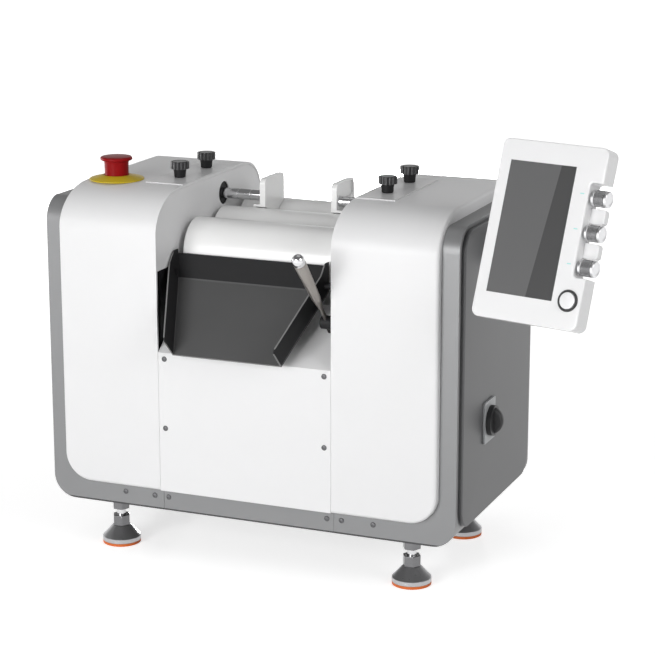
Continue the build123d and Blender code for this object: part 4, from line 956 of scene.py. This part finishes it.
class MILL_OT_feet(bpy.types.Operator):
    """Build the levelling feet with their rubber pads"""

    bl_idname = "mill.feet"
    bl_label = "Levelling feet"

    def execute(self, context):
        for node in FEET:
            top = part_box(node)[1][2]
            pad = turned(in_mm([
                (0.0, 0.0), (23.8, 0.0), (24.8, 0.5), (24.8, PAD_TOP), (0.0, PAD_TOP),
            ]), 72)
            plate = turned(in_mm([
                (0.0, PAD_TOP), (24.4, PAD_TOP), (24.9, 4.3), (24.9, 9.4), (24.2, 10.3),
                (23.2, 10.7), (12.2, 23.4), (11.4, CONE_TOP), (0.0, CONE_TOP),
            ]), 72)
            stud = turned(
                in_mm([(0.0, NUT_TOP), (5.9, NUT_TOP)])
                + in_mm([(5.9, -1.0), (5.0, 0.0), (0.0, 0.0)], top), 36,
            )
            nut = turned(in_mm([
                (0.0, CONE_TOP), (NUT_CORNER, CONE_TOP), (NUT_CORNER, NUT_TOP), (0.0, NUT_TOP),
            ]), 6)
            for label, shape, surface in (
                ("_pad", pad, "Orange rubber"), ("_plate", plate, "Satin chrome"),
                ("_stud", stud, "Polished steel"), ("_metal", nut, "Dark chrome"),
            ):
                piece = add_piece(
                    node + label, [shape], upright_place(node), finish(surface), node,
                )
            # Only the nut, placed last, gets soft edges
            soft_edges(piece, sizes().edge_softness, NUT_SHARP_ANGLE)
            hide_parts(node)
        soften(finish("Dark chrome"), ("foot_nuts",))
        return {"FINISHED"}


class MILL_OT_main_switch(bpy.types.Operator):
    """Finish the main switch on the right side"""

    bl_idname = "mill.main_switch"
    bl_label = "Main switch"

    def execute(self, context):
        soften(finish("Switch plate plastic"), ("switch_plate",), FRAME_EDGE)
        soften(finish("Black plastic"), ("switch_knob",), WIDE_EDGE)
        return {"FINISHED"}


class MILL_OT_control_panel(bpy.types.Operator):
    """Finish the control panel with its screen, marks, dials and start button"""

    bl_idname = "mill.control_panel"
    bl_label = "Control panel"

    def execute(self, context):
        soften(finish("Glossy white plastic"), ("panel_front", "panel_back"))
        soften(finish("Arm paint"), ("panel_arm", "arm_bracket"), WIDE_EDGE)
        glass = finish("Screen glass")
        # Painted reflection: the screen keeps its lighter grey left of this line and turns darker right of it
        edge = SCREEN_CENTRE + ACROSS * REFLECTION_EDGE * MM
        across = (ACROSS - PANEL_UP * REFLECTION_LEAN).normalized()
        tone_beyond(glass, edge, across, 0.0, (0.055, 0.055, 0.056))
        dress(glass, ("display",))
        self.add_marks()
        self.add_dials()
        self.add_button()
        return {"FINISHED"}

    def add_marks(self):
        glow = bpy.data.materials.new("Lit mark")
        glow.use_nodes = True
        shader = glow.node_tree.nodes["Principled BSDF"].inputs
        shader["Base Color"].default_value = (0.4, 0.68, 0.66, 1.0)
        shader["Emission Color"].default_value = (0.2, 0.75, 0.7, 1.0)
        shader["Emission Strength"].default_value = 0.12
        marks = []
        for row in MARK_ROWS:
            mark = rounded_block(5.0 * MM, 1.2 * MM, 0.8 * MM, 0.55 * MM, 4)
            place = panel_matrix(MARK_ACROSS, row, MARK_OUT)
            bmesh.ops.transform(mark, matrix=place, verts=mark.verts)
            marks.append(mark)
        add_piece("panel_marks", marks, Matrix(), glow, "control_panel")

    def add_dials(self):
        grip_metal = finish("Dial grip metal")
        turn = axis_matrix((0.0, 0.0, 0.0), ACROSS).to_euler()
        for index, row in enumerate(DIAL_ROWS, 1):
            node = "dial_%d" % index
            body = turned(in_mm([
                (0.0, 0.0), (8.6, 0.0), (9.5, 0.9), (9.5, 3.2), (9.0, 3.6), (9.0, 16.4),
                (9.5, 16.8), (9.5, 19.2), (8.8, 20.0), (6.5, 20.0), (6.2, 19.5), (0.0, 19.5),
            ]), 72)
            shaft = turned(in_mm([(0.0, -7.0), (2.5, -7.0), (2.5, 0.0), (0.0, 0.0)]), 24)
            place = axis_matrix(panel_point(DIAL_START, row, DIAL_OUT), ACROSS)
            metal = finish("Satin aluminium")
            piece = add_piece(node + "_shape", [body, shaft], place, metal, node)
            grip = grown_mesh(node + "_grip", ribbed_head_tree(), {
                "Ribs": sizes().dial_ribs, "Core Radius": 9.15 * MM, "Rib Radius": 0.45 * MM,
                "Height": 12.4 * MM, "Place": tuple(panel_point(DIAL_MIDDLE, row, DIAL_OUT)),
                "Turn": tuple(turn), "Material": grip_metal,
            })
            link_mesh(node + "_grip", grip, grip_metal, node)
            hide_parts(node)

    def add_button(self):
        place = panel_matrix(*BUTTON_PLACE)
        ring = turned(in_mm([
            (9.8, -1.0), (12.5, -1.0), (12.5, 0.9), (12.0, 1.6), (10.4, 1.6), (9.8, 0.9),
        ]), 72, closed=True)
        black = finish("Black plastic")
        add_piece("button_ring", [ring], place, black, "control_panel")
        cap = turned(in_mm([
            (0.0, -9.0), (9.5, -9.0), (9.5, 2.0), (9.0, 2.7), (7.5, 3.0), (0.0, 2.6),
        ]), 72)
        white = finish("Glossy white plastic")
        piece = add_piece("button_cap", [cap], place, white, "start")
        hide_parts("start_button")


class MILL_OT_inner_parts(bpy.types.Operator):
    """Give the drive, the bearing plates and the other inner parts their finishes"""

    bl_idname = "mill.inner_parts"
    bl_label = "Inner parts"

    def execute(self, context):
        # Painted shade: the bearing plates are black so that the recess under the inner covers reads dark
        soften(finish("Black paint"), ("bearing_plates",))
        for surface, nodes in (
            ("Machined steel", ("chassis_plate", "clamp_rails")),
            ("Black paint", ("tray_pivots",)),
            ("Turned steel", (
                "centre_bearings", "apron_carriages", "feed_carriages", "gap_adjusters",
            )),
            ("Black plastic", ("stop_base", "mains_inlet")),
            ("Satin aluminium", ("motor_pulley", "power_supply")),
            ("Motor paint", ("drive_motor",)),
            ("Belt rubber", ("drive_belt",)),
        ):
            dress(finish(surface), nodes)
        return {"FINISHED"}


class MILL_OT_stage(bpy.types.Operator):
    """Build the floor, the light and the camera"""

    bl_idname = "mill.stage"
    bl_label = "Studio"

    def execute(self, context):
        self.add_floor()
        self.add_world()
        self.add_lights()
        self.add_camera()
        context.scene.view_settings.view_transform = "Standard"
        return {"FINISHED"}

    def seen_factor(self, tree):
        """One for rays of the camera, of mirrors and through glass, else zero."""
        path = add_node(tree, "ShaderNodeLightPath").outputs
        seen = maths(tree, "MAXIMUM", path["Is Camera Ray"], path["Is Glossy Ray"])
        return maths(tree, "MAXIMUM", seen, path["Is Transmission Ray"])

    def add_floor(self):
        material = bpy.data.materials.new("Pale floor")
        material.use_nodes = True
        tree = material.node_tree
        shader = tree.nodes["Principled BSDF"].inputs
        shader["Base Color"].default_value = (0.86, 0.86, 0.86, 1.0)
        shader["Roughness"].default_value = 0.9
        shader["Specular IOR Level"].default_value = 0.1
        shader["Emission Color"].default_value = (1.0, 1.0, 1.0, 1.0)
        place = add_node(tree, "ShaderNodeTexCoord").outputs["Object"]
        distance = add_node(tree, "ShaderNodeVectorMath", {0: place}, operation="LENGTH")
        rise = add_node(tree, "ShaderNodeMapRange", {
            "Value": distance.outputs["Value"],
            "From Min": 0.5, "From Max": 2.5, "To Min": 0.62, "To Max": 0.95,
        })
        glow = maths(tree, "MULTIPLY", self.seen_factor(tree), rise.outputs["Result"])
        tree.links.new(glow, shader["Emission Strength"])
        mesh = bpy.data.meshes.new("floor")
        corners = [(-1, -1), (1, -1), (1, 1), (-1, 1)]
        mesh.from_pydata(
            [(x * FLOOR_HALF, y * FLOOR_HALF, 0) for x, y in corners], [], [(0, 1, 2, 3)],
        )
        mesh.materials.append(material)
        floor = bpy.data.objects.new("floor", mesh)
        bpy.context.scene.collection.objects.link(floor)

    def add_world(self):
        world = bpy.data.worlds.new("Studio")
        bpy.context.scene.world = world
        world.use_nodes = True
        tree = world.node_tree
        background = tree.nodes["Background"].inputs
        background["Color"].default_value = (1.0, 1.0, 1.0, 1.0)
        place = add_node(tree, "ShaderNodeTexCoord").outputs["Generated"]
        height = add_node(tree, "ShaderNodeSeparateXYZ", {0: place}).outputs["Z"]
        ceiling = add_node(tree, "ShaderNodeMapRange", {
            "Value": height, "From Min": 0.2, "From Max": 0.5, "To Min": 1.0, "To Max": 0.15,
        })
        camera_ray = add_node(tree, "ShaderNodeLightPath").outputs["Is Camera Ray"]
        whiter = maths(tree, "MAXIMUM", camera_ray, ceiling.outputs["Result"])
        seen = maths(tree, "MULTIPLY", self.seen_factor(tree), whiter)
        tree.links.new(maths(tree, "MAXIMUM", seen, 0.2), background["Strength"])

    def add_lights(self):
        for name, place, aim, size, power in LIGHTS:
            lamp = bpy.data.lights.new(name, "AREA")
            lamp.shape = "SQUARE"
            lamp.size = size
            lamp.energy = power
            light = bpy.data.objects.new(name, lamp)
            bpy.context.scene.collection.objects.link(light)
            light.location = place
            aimed = (Vector(aim) - Vector(place)).to_track_quat("-Z", "Y")
            light.rotation_euler = aimed.to_euler()

    def add_camera(self):
        lens = bpy.data.cameras.new("View")
        lens.sensor_width = 36.0
        lens.lens = CAMERA_LENS
        lens.clip_end = 60.0
        camera = bpy.data.objects.new("View", lens)
        bpy.context.scene.collection.objects.link(camera)
        camera.location = CAMERA_PLACE
        camera.rotation_euler = CAMERA_TURN
        bpy.context.scene.camera = camera


OPERATORS = (
    MILL_OT_covers,
    MILL_OT_base_frame,
    MILL_OT_rollers,
    MILL_OT_tray,
    MILL_OT_lever,
    MILL_OT_thumbscrews,
    MILL_OT_emergency_stop,
    MILL_OT_screws,
    MILL_OT_feet,
    MILL_OT_main_switch,
    MILL_OT_control_panel,
    MILL_OT_inner_parts,
    MILL_OT_stage,
)


class MILL_PT_sidebar(bpy.types.Panel):
    """Sidebar panel with the mill's values and steps"""

    bl_idname = "MILL_PT_sidebar"
    bl_label = "Three-roll mill"
    bl_space_type = "VIEW_3D"
    bl_region_type = "UI"
    bl_category = "Mill"

    def draw(self, context):
        for group in (context.scene.mill_colours, context.scene.mill_sizes):
            column = self.layout.column(align=True)
            for name in group.__annotations__:
                column.prop(group, name)
        steps = self.layout.column(align=True)
        for operator in OPERATORS:
            steps.operator(operator.bl_idname)


CLASSES = (MillColours, MillSizes, *OPERATORS, MILL_PT_sidebar)


def register():
    for item in CLASSES:
        bpy.utils.register_class(item)
    bpy.types.Scene.mill_colours = bpy.props.PointerProperty(type=MillColours)
    bpy.types.Scene.mill_sizes = bpy.props.PointerProperty(type=MillSizes)


def unregister():
    del bpy.types.Scene.mill_sizes
    del bpy.types.Scene.mill_colours
    for item in reversed(CLASSES):
        bpy.utils.unregister_class(item)


def main():
    register()
    for operator in OPERATORS:
        step = operator.bl_idname.split(".")[1]
        getattr(bpy.ops.mill, step)()


if __name__ == "__main__":
    main()
